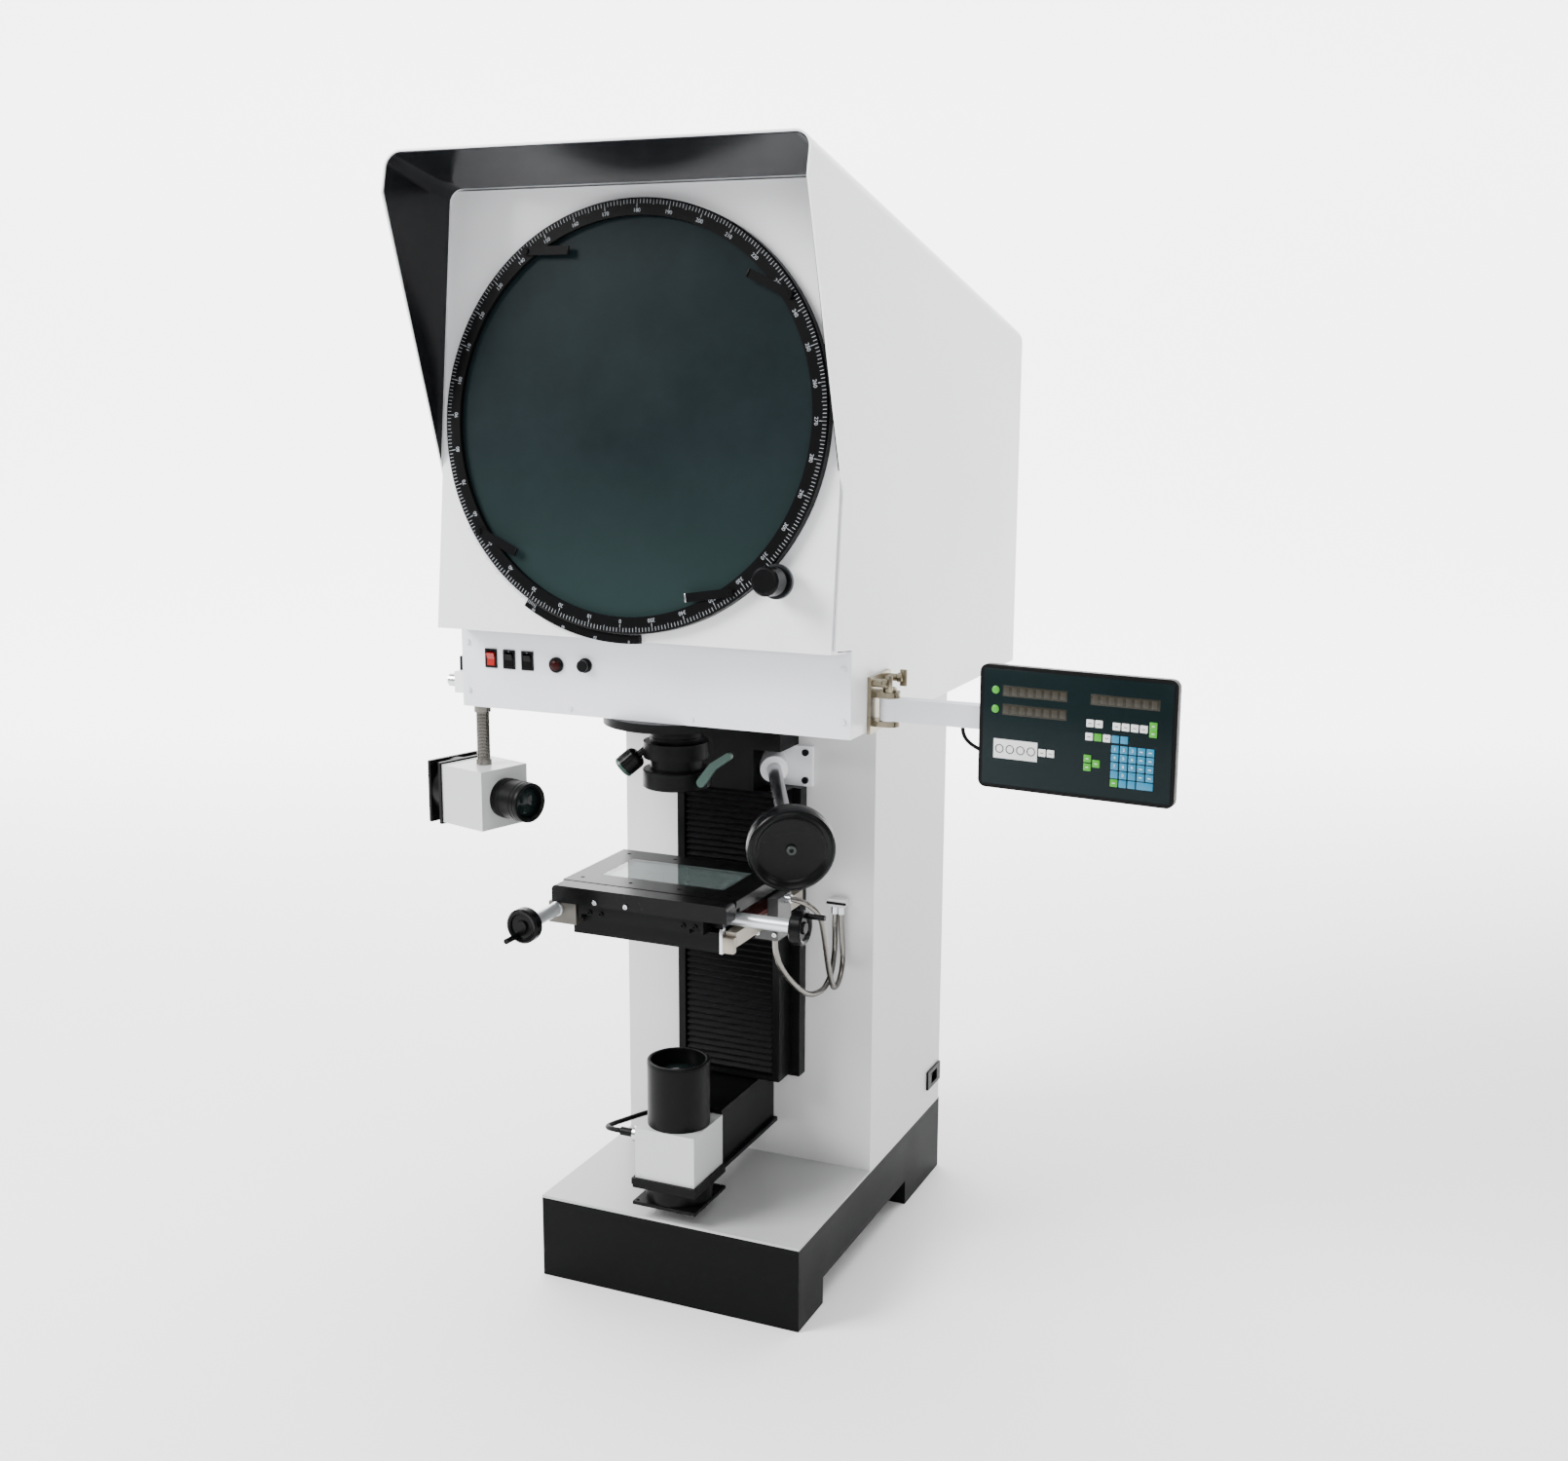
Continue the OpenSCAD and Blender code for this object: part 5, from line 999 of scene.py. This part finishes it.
for name, places, material in (("keys_white", white_keys, key_white), ("keys_green", green_keys, key_green),
                               ("keys_blue", blue_keys, key_blue)):
    keys = [on_face("key", *p, key_width, key_height, key_rise, key_edge) for p in places]
    if name == "keys_blue":
        wide_place = (keypad_left + 3.5 * key_step, last_row)
        keys.append(on_face("key", *wide_place, key_width + key_step, key_height, key_rise, key_edge))
    settle(join(keys, name), readout_place, material, "readout")
round_key = [(0, 1.7), (2.8, 1.6), (3.8, 1.0), (4.1, 0)]
round_places = [at(face_left + 17, face_front - 0.2, face_top - down, "-Y") for down in (24.9, 44)]
fasten("keys_round", round_key, round_places, "readout", key_green, 32, readout_place)
label_down = 83.4
label = on_face("readout_label", 39.2, label_down, 46.2, 19.4, 0.7, 0.2)
settle(label, readout_place, key_white, "readout")
label_ring = [(3.6, 0), (3.6, 0.4), (4.4, 0.4), (4.4, 0)]
ring_places = []
for k in range(4):
    ring_places.append(at(face_left + 22.5 + 11.1 * k, face_front - 0.6, face_top - label_down, "-Y"))
fasten("label_rings", label_ring, ring_places, "readout", face_film, 32, readout_place)
key_digit_size = 0.0042
key_marks = []
for number in range(10):
    row, column = divmod((number - 1) % 10, 3)
    digits = numeral(number, key_digit_size)
    key_x = face_left + keypad_left + key_step * (column if number else 1)
    key_z = face_top - keypad_top - row_step * row
    digits.matrix_world = at(key_x, face_front - key_rise, key_z, "-Y")
    only(digits)
    bpy.ops.object.transform_apply(location=True, rotation=True, scale=True)
    key_marks.append(digits)
for column in (3, 4):
    for row in range(4):
        place = (keypad_left + key_step * column, keypad_top + row_step * row)
        key_marks.append(on_face("key_mark", *place, 3, 0.8, mark_rise, 0))
for across, down in green_keys[:2] + green_keys[3:]:
    key_marks.append(on_face("key_mark", across, down, 2.6, 0.8, mark_rise, 0))
settle(join(key_marks, "key_marks"), readout_place, key_white, "readout")
dark_marks = [on_face("key_mark", *p, 3.4, 0.7, mark_rise, 0) for p in white_keys]
settle(join(dark_marks, "key_marks_dark"), readout_place, case_black, "readout")
case_places = [at(x, -18, z, "Y") for x in (-2, 161) for z in (674, 756)]
fasten("case_screws", pan_head, case_places, "readout", carrier=readout_place)
